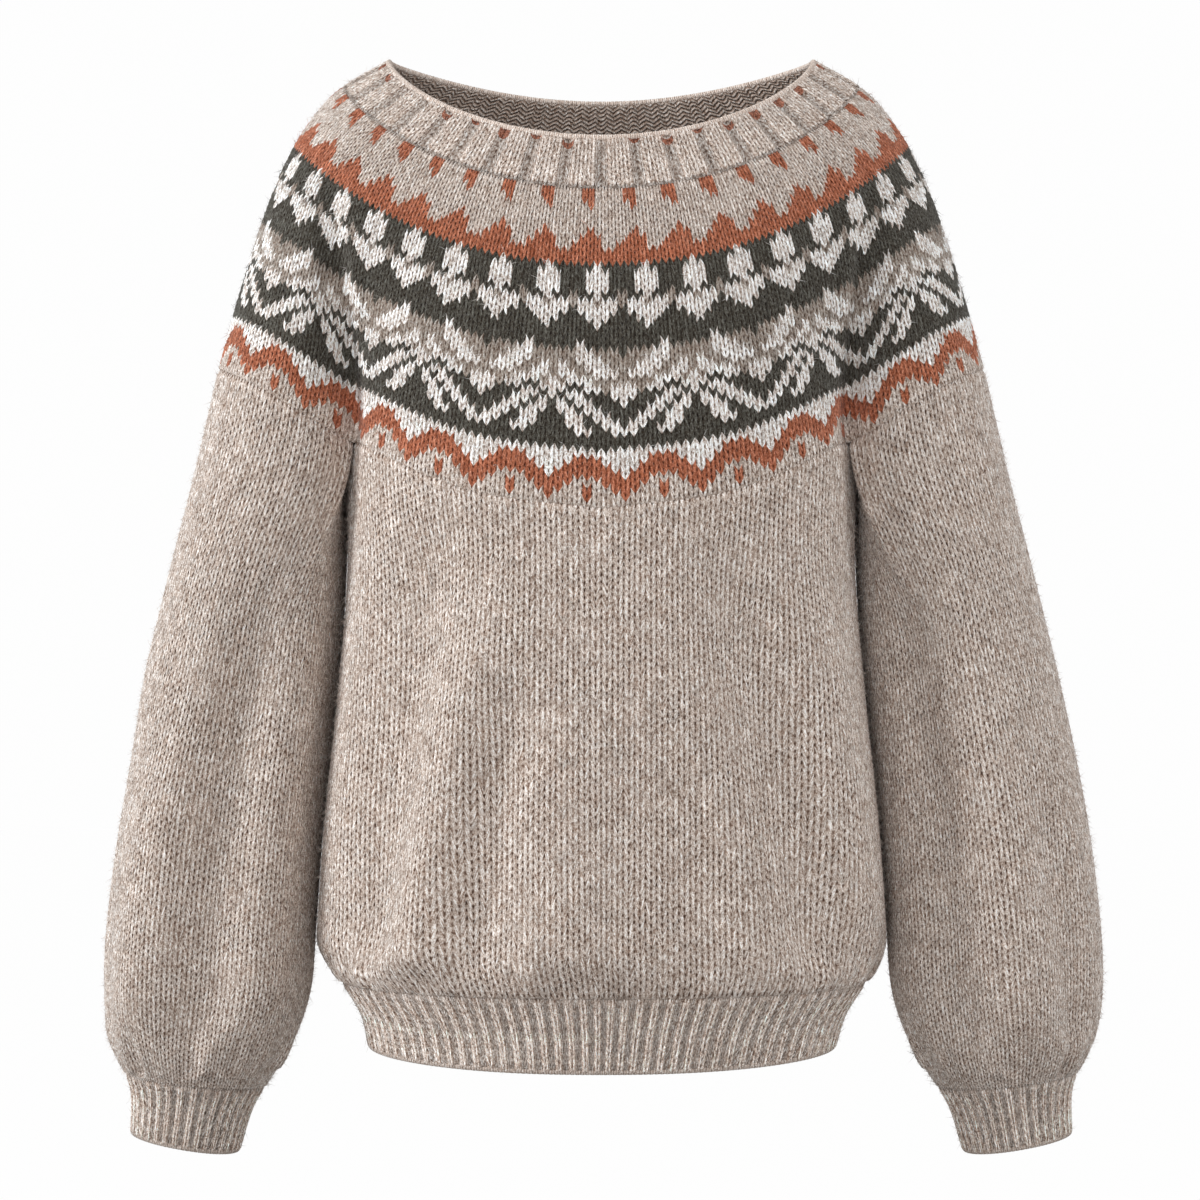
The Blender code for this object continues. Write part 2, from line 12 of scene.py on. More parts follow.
import bpy
import numpy as np
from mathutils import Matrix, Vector


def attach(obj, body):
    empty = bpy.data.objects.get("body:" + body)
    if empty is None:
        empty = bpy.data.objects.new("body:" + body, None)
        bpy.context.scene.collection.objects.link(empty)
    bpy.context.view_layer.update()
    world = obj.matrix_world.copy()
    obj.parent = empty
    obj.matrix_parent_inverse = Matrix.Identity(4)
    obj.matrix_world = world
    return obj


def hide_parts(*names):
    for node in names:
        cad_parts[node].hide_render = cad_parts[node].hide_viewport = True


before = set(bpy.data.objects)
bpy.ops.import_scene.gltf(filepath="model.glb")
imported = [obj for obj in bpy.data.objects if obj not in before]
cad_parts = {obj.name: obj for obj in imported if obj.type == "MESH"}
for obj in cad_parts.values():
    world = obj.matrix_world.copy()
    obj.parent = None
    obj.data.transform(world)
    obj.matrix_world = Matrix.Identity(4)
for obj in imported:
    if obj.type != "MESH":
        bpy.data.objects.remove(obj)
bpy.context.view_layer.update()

print("nodes:", sorted(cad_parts))

# %% [markdown]
# ## Camera
# A product picture of a garment is taken level, at mid height, from far enough away that the
# near and far sides keep their sizes. A 100 mm lens on a 36 mm sensor does that. The picture
# is square, and at the origin's depth it takes in 0.756 m.
# %% Camera
CAMERA_DISTANCE = 2.10
CAMERA_HEIGHT = -0.320
CAMERA_SIDE = -0.0008

camera_data = bpy.data.cameras.new("camera")
camera_data.lens = 100.0
camera_data.sensor_width = 36.0
camera = bpy.data.objects.new("camera", camera_data)
camera.location = (CAMERA_SIDE, -CAMERA_DISTANCE, CAMERA_HEIGHT)
camera.rotation_euler = (radians(90.0), 0.0, 0.0)
bpy.context.scene.collection.objects.link(camera)
bpy.context.scene.camera = camera
print("camera at", tuple(round(v, 3) for v in camera.location))

# %% [markdown]
# ## Form of the garment
# Every ring of the garment comes from short tables: how wide, how deep and how low it is.
# They are the tables of the solid model, because the knitted surface has to lie on it. A
# smooth curve through the rows gives every ring between them. A loft by hand would do as
# well, but a table can be read again at any fineness, and stitches need very many rings.
# All measures are in metres, and a drop is counted down from the neck point.
# %% Tables of the form
WALL = 0.0030
RIB_WALL = 0.0036
SEAM_GAP = 0.0003
ARM_CLEARANCE = 0.0014
NECK_POINT_HEIGHT = 0.020

YokeRow = namedtuple("YokeRow", "along half_width side_drop front front_drop front_bend"
                                " back back_drop back_bend squareness")
YOKE_ROWS = tuple(YokeRow(*row) for row in (
    (0.000, 0.1350, 0.0000, 0.0850, 0.0600, 1.35, 0.0720, 0.0170, 2.50, 2.00),
    (0.143, 0.1628, 0.0165, 0.0985, 0.0925, 1.50, 0.0850, 0.0450, 2.30, 2.05),
    (0.250, 0.1800, 0.0340, 0.1055, 0.1160, 1.65, 0.0955, 0.0665, 2.30, 2.10),
    (0.400, 0.1987, 0.0650, 0.1130, 0.1500, 1.90, 0.1060, 0.0980, 2.40, 2.20),
    (0.600, 0.2152, 0.1080, 0.1190, 0.1955, 2.20, 0.1130, 0.1430, 2.50, 2.30),
    (0.800, 0.2288, 0.1520, 0.1225, 0.2410, 2.45, 0.1165, 0.1880, 2.60, 2.40),
    (1.000, 0.2408, 0.1960, 0.1235, 0.2860, 2.70, 0.1180, 0.2330, 2.70, 2.50),
))
NECKBAND_END = 0.143
PARTING_START = 0.25
PARTING_SHARPNESS = 1.3

BodyRow = namedtuple("BodyRow", "drop half_width middle_x front back squareness")
BODY_ROWS = tuple(BodyRow(*row) for row in (
    (0.150, 0.1600, 0.0000, 0.1210, 0.1150, 2.60),
    (0.245, 0.1610, 0.0000, 0.1230, 0.1175, 2.60),
    (0.320, 0.1592, 0.0000, 0.1240, 0.1190, 2.55),
    (0.400, 0.1655, 0.0000, 0.1265, 0.1210, 2.50),
    (0.470, 0.1730, 0.0000, 0.1290, 0.1235, 2.45),
    (0.530, 0.1775, 0.0000, 0.1310, 0.1250, 2.40),
    (0.554, 0.1782, 0.0002, 0.1305, 0.1245, 2.40),
    (0.568, 0.1725, 0.0012, 0.1265, 0.1205, 2.40),
    (0.580, 0.1640, 0.0016, 0.1205, 0.1150, 2.40),
    (0.600, 0.1530, 0.0014, 0.1150, 0.1100, 2.35),
    (0.622, 0.1475, 0.0006, 0.1120, 0.1080, 2.30),
))
HEM_SEAM_DROP = 0.578
HEM_DROP = 0.622
HEM_SIDE_RISE = 0.004
MIDDLE_DROP = 0.40
FORK_X = 0.152
UNDERARM_DROP = 0.245
UNDERARM_SAG = 0.012

EdgeRow = namedtuple("EdgeRow", "x front_drop back_drop")
EDGE_TURN = 0.120
EDGE_ROWS = tuple(EdgeRow(*row) for row in (
    (0.000, 0.2860, 0.2330),
    (0.082, 0.2740, 0.2270),
    (0.152, 0.2430, 0.2160),
    (0.190, 0.2215, 0.2070),
    (0.214, 0.2075, 0.2010),
    (0.2408, 0.1960, 0.1960),
))
ARM_MIDDLE_X = 0.190
ARM_TOP_DEPTH = 0.068
ARM_INNER_REACH = 0.0665
ARM_SQUARENESS = 2.15

ArmRow = namedtuple("ArmRow", "along outer_x outer_drop inner_x inner_drop depth middle_y")
ARM_ROWS = tuple(ArmRow(*row) for row in (
    (0.000, 0.2408, 0.196, None, 0.243, 0.0670, 0.002),
    (0.150, 0.2563, 0.260, None, 0.298, 0.0665, 0.006),
    (0.310, 0.2745, 0.330, None, 0.362, 0.0665, 0.008),
    (0.470, 0.2913, 0.400, None, 0.426, 0.0670, 0.008),
    (0.630, 0.3051, 0.470, None, 0.491, 0.0680, 0.006),
    (0.767, 0.3129, 0.530, None, 0.546, 0.0685, 0.004),
    (0.868, 0.3153, 0.575, 0.1836, 0.588, 0.0660, 0.002),
    (0.945, 0.3115, 0.610, 0.1950, 0.621, 0.0570, 0.000),
    (1.000, 0.2998, 0.636, 0.2110, 0.646, 0.0430, -0.001),
    (1.040, 0.2960, 0.650, 0.2195, 0.661, 0.0370, -0.001),
    (1.095, 0.2963, 0.673, 0.2270, 0.6855, 0.0340, -0.001),
))
CUFF_END = 1.095
SLEEVE_CROWDING = 1.25
SLEEVE_ROUNDED = 0.34
SLEEVE_FOLD_FADE = 0.08
FOLD_GROWTH = 0.18
FOLD_FADE = 0.025

# Folds of the body are placed by x in metres, and folds of a sleeve by the angle round it.
Fold = namedtuple("Fold", "start start_drop end end_drop width raise_by")
FRONT_FOLDS = (
    Fold(-0.105, 0.300, -0.150, 0.560, 0.021, -0.0080),
    Fold(-0.064, 0.350, -0.116, 0.570, 0.022, 0.0050),
    Fold(-0.058, 0.400, -0.078, 0.560, 0.020, -0.0045),
    Fold(-0.022, 0.380, -0.020, 0.570, 0.026, 0.0030),
    Fold(0.045, 0.420, 0.062, 0.570, 0.024, -0.0025),
    Fold(0.078, 0.320, 0.136, 0.565, 0.022, -0.0065),
    Fold(0.120, 0.330, 0.163, 0.540, 0.020, 0.0035),
)
BACK_FOLDS = (
    Fold(-0.095, 0.290, -0.140, 0.560, 0.022, -0.0070),
    Fold(-0.030, 0.360, -0.046, 0.570, 0.026, 0.0040),
    Fold(0.014, 0.330, 0.010, 0.565, 0.022, -0.0050),
    Fold(0.060, 0.380, 0.082, 0.570, 0.024, 0.0040),
    Fold(0.092, 0.300, 0.146, 0.555, 0.022, -0.0070),
)
RIGHT_SLEEVE_FOLDS = (
    Fold(1.75, 0.340, 1.62, 0.610, 0.30, -0.0070),
    Fold(1.15, 0.430, 1.00, 0.600, 0.30, 0.0030),
    Fold(2.35, 0.330, 2.20, 0.600, 0.28, 0.0030),
    Fold(-1.40, 0.350, -1.60, 0.600, 0.32, -0.0060),
    Fold(0.20, 0.420, 0.35, 0.600, 0.30, -0.0030),
)
LEFT_SLEEVE_FOLDS = (
    Fold(2.20, 0.320, 2.05, 0.610, 0.30, -0.0060),
    Fold(1.55, 0.400, 1.45, 0.600, 0.32, 0.0035),
    Fold(1.10, 0.460, 0.85, 0.610, 0.26, -0.0040),
    Fold(-1.60, 0.340, -1.45, 0.600, 0.32, -0.0060),
    Fold(-0.50, 0.440, -0.35, 0.600, 0.30, 0.0030),
)

# Where body and sleeve fold against each other, the wool is creased deeper than the plain
# model is, because that one has to keep room inside.
CreaseRow = namedtuple("CreaseRow", "drop x depth")
CREASE_ROWS = tuple(CreaseRow(*row) for row in (
    (0.070, 0.166, 0.000),
    (0.110, 0.161, 0.008),
    (0.150, 0.157, 0.016),
    (0.200, 0.153, 0.021),
    (0.260, 0.152, 0.012),
    (0.320, 0.157, 0.003),
    (0.450, 0.168, 0.000),
))
BODY_SIDE_WIDTH, SLEEVE_SIDE_WIDTH = 0.005, 0.013
CREASE_REACH = 0.055
print("tables:", len(YOKE_ROWS), "yoke,", len(BODY_ROWS), "body and", len(ARM_ROWS), "sleeve rings")

# %% [markdown]
# ## Reading the tables
# The helpers below read whole rows of numbers at once with numpy, because a knitted piece has
# some eighty thousand points and plain Python would need minutes for them.
# %% Curves through the tables
PROFILE_STEPS = 1440
RUN_STEPS = 240


def smooth_step(value):
    value = np.clip(value, 0.0, 1.0)
    return value * value * (3.0 - 2.0 * value)


def signed_power(value, power):
    return np.copysign(np.abs(value) ** power, value)


def height(drop):
    return NECK_POINT_HEIGHT - drop


def unit(vectors):
    return vectors / np.linalg.norm(vectors, axis=-1, keepdims=True)


def read_row(rows, key, at, column):
    """A column of a table at any places between its rows, on a smooth curve."""
    keys = np.array([getattr(row, key) for row in rows])
    values = np.array([getattr(row, column) for row in rows])
    numbers = np.arange(len(keys))
    low, high = np.maximum(numbers - 1, 0), np.minimum(numbers + 1, len(keys) - 1)
    slopes = (values[high] - values[low]) / (keys[high] - keys[low])
    at = np.clip(at, keys[0], keys[-1])
    i = np.clip(np.searchsorted(keys, at, side="right") - 1, 0, len(keys) - 2)
    span, rise = keys[i + 1] - keys[i], values[i + 1] - values[i]
    t = (at - keys[i]) / span
    start, end = slopes[i] * span, slopes[i + 1] * span
    return values[i] + t * start + t * t * (3 * rise - 2 * start - end) \
        + t ** 3 * (start + end - 2 * rise)


def along_run(points, parts):
    """Points at given parts, 0 to 1, of a run's length."""
    steps = np.linalg.norm(np.diff(points, axis=0), axis=1)
    lengths = np.concatenate([[0.0], np.cumsum(steps)])
    at = np.asarray(parts) * lengths[-1]
    return np.stack([np.interp(at, lengths, points[:, k]) for k in range(3)], -1)


def join_xyz(x, y, z):
    return np.stack(np.broadcast_arrays(x, y, z), -1)


def creased(points):
    """The cloth pushed in where it folds between the body and each sleeve."""
    drop = NECK_POINT_HEIGHT - points[..., 2]
    away = np.abs(points[..., 0]) - read_row(CREASE_ROWS, "drop", drop, "x")
    away = away / np.where(away < 0, BODY_SIDE_WIDTH, SLEEVE_SIDE_WIDTH)
    push = read_row(CREASE_ROWS, "drop", drop, "depth") * np.exp(-away ** 2)
    y = points[..., 1]
    points[..., 1] = y - np.sign(y) * push * smooth_step(np.abs(y) / CREASE_REACH)
    return points


half_way = float(read_row(YOKE_ROWS, "along", 0.5, "half_width"))
print("half width of the yoke half way down:", round(half_way, 4))

# %% [markdown]
# ## Where yoke, body and sleeves meet
# The lower edge of a round yoke is one level ring. It falls a little lower in front, so the
# neck sits well, and at each arm it parts: the front and back go down into the body, and the
# sides go down into the sleeves.
# %% The body's outline and the yoke's edge
def edge_drop(x, y):
    front = read_row(EDGE_ROWS, "x", np.abs(x), "front_drop")
    back = read_row(EDGE_ROWS, "x", np.abs(x), "back_drop")
    return back + (front - back) * smooth_step(0.5 - y / EDGE_TURN)


def body_plan(angle, drop):
    """Points of the body's outline; angle 0 is the front middle, pi / 2 is at +X."""
    power = 2.0 / read_row(BODY_ROWS, "drop", drop, "squareness")
    x = read_row(BODY_ROWS, "drop", drop, "half_width") * signed_power(np.sin(angle), power)
    x = x + read_row(BODY_ROWS, "drop", drop, "middle_x")
    depth = np.where(np.cos(angle) > 0, read_row(BODY_ROWS, "drop", drop, "front"),
                     read_row(BODY_ROWS, "drop", drop, "back"))
    y = -depth * signed_power(np.cos(angle), power)
    rise = HEM_SIDE_RISE * np.sin(angle) ** 2
    rise = rise * smooth_step((drop - HEM_SEAM_DROP) / (HEM_DROP - HEM_SEAM_DROP))
    return join_xyz(x, y, height(drop) + rise)


def fork_angle():
    drop = read_row(EDGE_ROWS, "x", FORK_X, "front_drop")
    squareness = read_row(BODY_ROWS, "drop", drop, "squareness")
    return asin((FORK_X / read_row(BODY_ROWS, "drop", drop, "half_width")) ** (squareness / 2.0))


def body_top_drop(angle):
    flat = body_plan(angle, UNDERARM_DROP)
    flat = body_plan(angle, edge_drop(flat[..., 0], flat[..., 1]))
    reach = abs(body_plan(fork_angle(), UNDERARM_DROP)[1])
    sag = UNDERARM_SAG * np.maximum(0.0, 1.0 - (flat[..., 1] / reach) ** 2)
    return edge_drop(flat[..., 0], flat[..., 1]) + np.where(np.abs(flat[..., 0]) > FORK_X, sag, 0.0)


def body_run(start, end, spread=0.0):
    angle = np.linspace(start, end, RUN_STEPS + 1)
    points = body_plan(angle, body_top_drop(angle))
    points[:, 0] += np.copysign(spread, points[:, 0])
    return points


def arm_side_run(side, back):
    """The sleeve's top edge from the outside of the arm to the fork."""
    power = 2.0 / ARM_SQUARENESS
    start, end = pi / 3, pi / 2 + asin((ARM_MIDDLE_X - FORK_X) / ARM_INNER_REACH)
    fork = pi - fork_angle() if back else fork_angle()
    fork_depth = abs(body_plan(fork, body_top_drop(fork))[1])
    outer_reach = YOKE_ROWS[-1].half_width - ARM_MIDDLE_X
    angle = np.linspace(0.0, end, RUN_STEPS + 1)
    x = ARM_MIDDLE_X + np.where(angle < pi / 2, outer_reach * signed_power(np.cos(angle), power),
                                ARM_INNER_REACH * np.cos(angle))
    y = ARM_TOP_DEPTH * np.sin(angle) ** power
    y += (fork_depth - ARM_TOP_DEPTH * np.sin(end) ** power) \
        * smooth_step((angle - start) / (end - start))
    y = y if back else -y
    return join_xyz(side * x, y, height(edge_drop(x, y)))


print("the arms begin", round(1000 * FORK_X), "mm from the middle")

# %% [markdown]
# ## Rings of each piece
# Each piece is described by one function. It takes how far down the piece a ring lies, 0 at
# its top and 1 at its end, and places round it, and gives the points of those rings.
# %% Rings of the yoke and the neckband
FRONT_SHARE, SIDE_SHARE, UNDERARM_SHARE = 20, 16, 8


def shared_runs(runs, first, places):
    """Points round a closed line of several runs, each with its share of the places."""
    total = sum(share for share, _ in runs)
    at = (np.asarray(places) * total + first) % total
    points = np.zeros((len(at), 3))
    start = 0
    for share, run in runs:
        inside = (at >= start) & (at < start + share)
        points[inside] = along_run(run, (at[inside] - start) / share)
        start += share
    return points


def yoke_edge(places):
    fork = fork_angle()
    right = np.concatenate([arm_side_run(1, False)[::-1], arm_side_run(1, True)[1:]])
    left = np.concatenate([arm_side_run(-1, True)[::-1], arm_side_run(-1, False)[1:]])
    runs = ((FRONT_SHARE, body_run(-fork, fork)), (SIDE_SHARE, right),
            (FRONT_SHARE, body_run(pi - fork, pi + fork)), (SIDE_SHARE, left))
    return shared_runs(runs, FRONT_SHARE / 2, places)


def round_ring(along, places):
    """A ring of the yoke as it would be if it didn't part between body and sleeves."""
    value = {name: float(read_row(YOKE_ROWS, "along", along, name)) for name in YokeRow._fields}
    angle = np.linspace(0.0, 2 * pi, PROFILE_STEPS + 1)
    power = 2.0 / value["squareness"]
    front = np.cos(angle) > 0
    x = value["half_width"] * signed_power(np.sin(angle), power)
    y = -np.where(front, value["front"], value["back"]) * signed_power(np.cos(angle), power)
    low = np.where(front, value["front_drop"], value["back_drop"]) - value["side_drop"]
    bend = np.where(front, value["front_bend"], value["back_bend"])
    drop = value["side_drop"] + low * np.abs(np.cos(angle)) ** bend
    return along_run(join_xyz(x, y, height(drop)), places)


def yoke_rings(alongs, places, parted=True):
    places = np.asarray(places) % 1.0
    shift = yoke_edge(places) - round_ring(1.0, places)
    rings = []
    for along in alongs:
        weight = smooth_step((along - PARTING_START) / (1.0 - PARTING_START))
        weight = weight ** PARTING_SHARPNESS
        rings.append(round_ring(along, places) + shift * (weight if parted else 0.0))
    return np.array(rings)


def neckband_form(parts, places):
    return yoke_rings(np.asarray(parts) * NECKBAND_END, places, parted=False)


def yoke_form(parts, places):
    return creased(yoke_rings(NECKBAND_END + (1.0 - NECKBAND_END) * np.asarray(parts), places))


print("yoke's lower edge:", round(float(yoke_form([1.0], [0.0])[0, 0, 2]), 4), "m at the front middle")

# %% [markdown]
# The body hangs from the yoke's edge as one wide tube. Large folds are soft troughs and
# ridges that run down it. Above the rib the knitting is gathered: it has more stitches than
# the rib can hold open, and so it puckers into short narrow pleats.
# %% Rings of the body and its hem rib
GATHER_START = 0.004
GATHER_REACH = 0.042
DEEPER = 1.8
BEFORE_FOLD, FOLD_GROWS = 0.25, 0.55
FOLD_ENDS, FOLD_SHRINKS = 1.12, 0.22
SIDES_CALM = 2.0
Gather = namedtuple("Gather", "turns phase height")
BODY_GATHERS = (Gather(23, 0.4, 0.0011), Gather(37, 1.9, 0.0009), Gather(61, 0.2, 0.0006))
SLEEVE_GATHERS = (Gather(11, 0.8, 0.0015), Gather(17, 2.6, 0.0013), Gather(26, 0.5, 0.0008))


def fold_raise(folds, place, drop):
    """Height of the folds: knitting drops into deeper folds than the plain model's."""
    total = np.zeros(np.broadcast(place, drop).shape)
    for fold in folds:
        t = (drop - fold.start_drop) / (fold.end_drop - fold.start_drop)
        middle = fold.start + (fold.end - fold.start) * t
        fade = smooth_step((t + BEFORE_FOLD) / FOLD_GROWS)
        fade = fade * smooth_step((FOLD_ENDS - t) / FOLD_SHRINKS)
        total += fold.raise_by * fade * np.exp(-((place - middle) / fold.width) ** 2)
    return total * DEEPER


def gather_raise(gathers, turn, above_seam):
    """Short pleats above a rib: strongest just over the seam, gone a hand's width up."""
    total = sum(g.height * np.sin(g.turns * turn + g.phase) for g in gathers)
    fade = smooth_step(above_seam / GATHER_START) * smooth_step(1.0 - above_seam / GATHER_REACH)
    return total * fade


def body_angles(places):
    """Angles at even spaces round the body half way down."""
    angle = np.linspace(0.0, 2 * pi, PROFILE_STEPS + 1)
    points = body_plan(angle, np.full_like(angle, MIDDLE_DROP))
    steps = np.linalg.norm(np.diff(points, axis=0), axis=1)
    lengths = np.concatenate([[0.0], np.cumsum(steps)]) / steps.sum()
    return np.interp(np.asarray(places) % 1.0, lengths, angle)


def body_form(parts, places):
    angle = body_angles(places)[None, :]
    part = np.asarray(parts)[:, None]
    top = body_top_drop(angle[0])[None, :]
    drop = top + (HEM_SEAM_DROP - top) * part
    points = body_plan(angle, drop)
    fade = smooth_step(np.abs(np.cos(angle)) * SIDES_CALM) * smooth_step(part / FOLD_GROWTH)
    fade = fade * smooth_step((HEM_SEAM_DROP - drop) / FOLD_FADE)
    front = fold_raise(FRONT_FOLDS, points[..., 0], drop)
    back = fold_raise(BACK_FOLDS, points[..., 0], drop)
    lift = np.where(np.cos(angle) > 0, front, back) * fade
    lift = lift + gather_raise(BODY_GATHERS, angle, HEM_SEAM_DROP - drop)
    points[..., 0] += np.sin(angle) * lift
    points[..., 1] -= np.cos(angle) * lift
    return creased(points)


def hem_form(parts, places):
    angle = body_angles(places)[None, :]
    drop = HEM_SEAM_DROP + (HEM_DROP - HEM_SEAM_DROP) * np.asarray(parts)[:, None]
    return body_plan(angle, np.broadcast_to(drop, (len(parts), angle.shape[1])))


print("hem edge:", round(float(hem_form([1.0], [0.0])[0, 0, 2]), 4), "m at the front middle")

# %% [markdown]
# A sleeve is a tube of slanted rings. Its top takes over the ring of the yoke round the arm
# and the body's edge under it, and turns into a plain round tube within a third of its length.
# %% Rings of the sleeves and their cuffs
PLACES_TURN = pi * 1.25


def arm_value(along, column):
    if column != "inner_x":
        return read_row(ARM_ROWS, "along", along, column)
    rows = []
    for row in ARM_ROWS:
        inner = row.inner_x
        if inner is None:
            inner = read_row(BODY_ROWS, "drop", row.inner_drop, "half_width") + ARM_CLEARANCE
        rows.append(row._replace(inner_x=float(inner)))
    return read_row(rows, "along", along, "inner_x")


def arm_plan(angle, along, side):
    """Points of the plain sleeve; angle 0 is outside and pi / 2 is at the front."""
    outer = join_xyz(arm_value(along, "outer_x"), 0.0, height(arm_value(along, "outer_drop")))
    inner = join_xyz(arm_value(along, "inner_x"), 0.0, height(arm_value(along, "inner_drop")))
    power = 2.0 / ARM_SQUARENESS
    points = (outer + inner) / 2 + (outer - inner) / 2 * signed_power(np.cos(angle), power)[..., None]
    points[..., 1] = arm_value(along, "middle_y") \
        - arm_value(along, "depth") * signed_power(np.sin(angle), power)
    points[..., 0] *= side
    return points


def arm_top(places, side):
    fork = fork_angle()
    start, end = (fork, pi - fork) if side > 0 else (-fork, fork - pi)
    runs = ((SIDE_SHARE // 2, arm_side_run(side, False)),
            (UNDERARM_SHARE, body_run(start, end, 2 * SEAM_GAP)),
            (SIDE_SHARE // 2, arm_side_run(side, True)[::-1]))
    return shared_runs(runs, 0, places)


def arm_places(places, side):
    """Places run the way that keeps the cloth's right side out on either arm."""
    return (-side * np.asarray(places)) % 1.0


def sleeve_form(parts, places, side):
    places = arm_places(places, side)
    angle = (2 * pi * places)[None, :]
    along = 1.0 - (1.0 - np.asarray(parts)[:, None]) ** SLEEVE_CROWDING
    angle, along = np.broadcast_arrays(angle, along)
    hold = 1.0 - smooth_step(along / SLEEVE_ROUNDED)
    points = arm_plan(angle, along, side)
    points += (arm_top(places, side) - arm_plan(angle[0], 0.0, side)) * hold[..., None]
    folds = LEFT_SLEEVE_FOLDS if side > 0 else RIGHT_SLEEVE_FOLDS
    place = np.where(angle < PLACES_TURN, angle, angle - 2 * pi)
    fade = (1.0 - hold) * smooth_step((1.0 - along) / SLEEVE_FOLD_FADE)
    lift = fold_raise(folds, place, NECK_POINT_HEIGHT - points[..., 2]) * fade
    seam_height = height(arm_value(1.0, "outer_drop"))
    lift = lift + gather_raise(SLEEVE_GATHERS, angle, points[..., 2] - seam_height)
    points[..., 0] += side * np.cos(angle) * lift
    points[..., 1] -= np.sin(angle) * lift
    return creased(points)


def cuff_form(parts, places, side):
    angle = (2 * pi * arm_places(places, side))[None, :]
    along = 1.0 + (CUFF_END - 1.0) * np.asarray(parts)[:, None]
    angle, along = np.broadcast_arrays(angle, along)
    return arm_plan(angle, along, side)


print("cuff edge:", round(float(cuff_form([1.0], [0.0], 1)[0, 0, 2]), 4), "m at the outside of the arm")

# %% [markdown]
# ## One knitted wall
# In plain knitting each stitch is a V: two legs of yarn that lean together at the foot. Four
# columns of points make one stitch: the groove between two wales, the first leg, the middle of
# the V and the second leg. The lines between the courses go up and down with them, so the
# legs lean and a change of colour has the saw teeth of real knitting. A ribbed stitch has
# columns of its own, with a purl gutter. Each column says how deep it lies under the wall's
# face, between two courses (groove) and in the middle of one, and how much painted shade and
# light its yarn takes: light doesn't reach far into a gutter, and painting that shade on the
# wool is cheaper than carving it, while the raised legs get painted light.
# %% Stitches as columns of points
Column = namedtuple("Column", "place groove middle slant wale tone")
LEAN = 0.50
# The last number of each column is painted light on its yarn: under 1 is painted shade in grooves and
# gutters, over 1 is painted light on raised legs.
STOCKINETTE = (
    Column(0.00, 0.00085, 0.00130, -LEAN, 0.00, 0.97),
    Column(0.25, 0.00025, 0.00000, 0.00, 0.25, 1.03),
    Column(0.50, 0.00120, 0.00065, LEAN, 0.50, 0.97),
    Column(0.75, 0.00025, 0.00000, 0.00, 0.75, 1.03),
)
NARROW_RIB = (
    Column(0.00, 0.00240, 0.00160, 0.00, 0.00, 0.91),
    Column(0.09, 0.00150, 0.00240, 0.00, 0.40, 1.00),
    Column(0.19, 0.00220, 0.00180, 0.00, 0.80, 0.71),
    Column(0.27, 0.00060, 0.00100, -LEAN, 1.00, 1.31),
    Column(0.38, 0.00000, 0.00010, 0.00, 1.25, 1.64),
    Column(0.50, 0.00170, 0.00080, LEAN, 1.50, 0.95),
    Column(0.62, 0.00000, 0.00010, 0.00, 1.75, 1.64),
    Column(0.73, 0.00060, 0.00100, -LEAN, 2.00, 1.31),
    Column(0.81, 0.00220, 0.00180, 0.00, 2.20, 0.71),
    Column(0.91, 0.00150, 0.00240, 0.00, 2.60, 1.00),
)
# Painted shade in a broad rib's purl gutter and at its sides, and painted light on its knit legs.
GUTTER_PAINTED_SHADE, GUTTER_SIDE_PAINTED_SHADE = 0.68, 0.74
RIB_RELIEF, RIB_PAINTED_LIGHT = 0.9, 1.08


def broad_rib(wales=3, start=0.17):
    """A rib of several knit wales between purl gutters, whose loops stand out in turn."""
    columns = [Column(0.00, 0.00290, 0.00160, 0.0, 0.0, GUTTER_PAINTED_SHADE),
               Column(0.09, 0.00150, 0.00280, 0.0, 0.3, GUTTER_SIDE_PAINTED_SHADE)]
    width = (1.0 - 2 * start) / wales
    for wale in range(wales):
        for column in STOCKINETTE:
            columns.append(column._replace(
                place=start + (wale + column.place) * width, groove=column.groove * RIB_RELIEF,
                middle=column.middle * RIB_RELIEF, wale=1.0 + wale + column.wale,
                tone=RIB_PAINTED_LIGHT * column.tone))
    end = 1.0 - start
    columns.append(Column(end, 0.00080, 0.00060, -LEAN, 1.0 + wales, 0.95))
    columns.append(Column(0.91, 0.00150, 0.00280, 0.0, 1.7 + wales, GUTTER_SIDE_PAINTED_SHADE))
    return tuple(columns)


BROAD_RIB = broad_rib()
print("points round a rib:", len(NARROW_RIB), "narrow,", len(BROAD_RIB), "broad")

# %% [markdown]
# The wall itself is one flat grid, wrapped round twice: once round the garment, and once down
# its outside and up its inside. So it closes into a tube with a real thickness. The points are
# put in place by code, and then the two meeting edges are merged. The grid's own UV map lays
# the cloth out flat and takes any baked picture; a second one counts wales and courses.
# %% Wrap a grid
MERGE = 1e-5
LEVEL_SHARE = 0.05


def normals_of(points):
    round_it = np.roll(points, -1, axis=1) - np.roll(points, 1, axis=1)
    return unit(np.cross(np.gradient(points, axis=0), round_it))


def levelled(normal, rows, at_start, at_end):
    """Normals that turn level towards an end that is cut level through the wall."""
    weight = at_start * smooth_step(1.0 - rows / LEVEL_SHARE)
    weight = weight + at_end * smooth_step((rows - (1.0 - LEVEL_SHARE)) / LEVEL_SHARE)
    level = unit(normal * np.array([1.0, 1.0, 0.0]))
    return unit(normal + (level - normal) * weight[:, None, None])


def read_between(grid, rows):
    """Values of a grid of rings at any heights, row numbers with parts, for each column."""
    rows = np.clip(rows, 0.0, len(grid) - 1.0)
    low = np.minimum(rows.astype(int), len(grid) - 2)
    part = (rows - low)[..., None]
    columns = np.arange(grid.shape[1])[None, :]
    return grid[low, columns] * (1.0 - part) + grid[low + 1, columns] * part


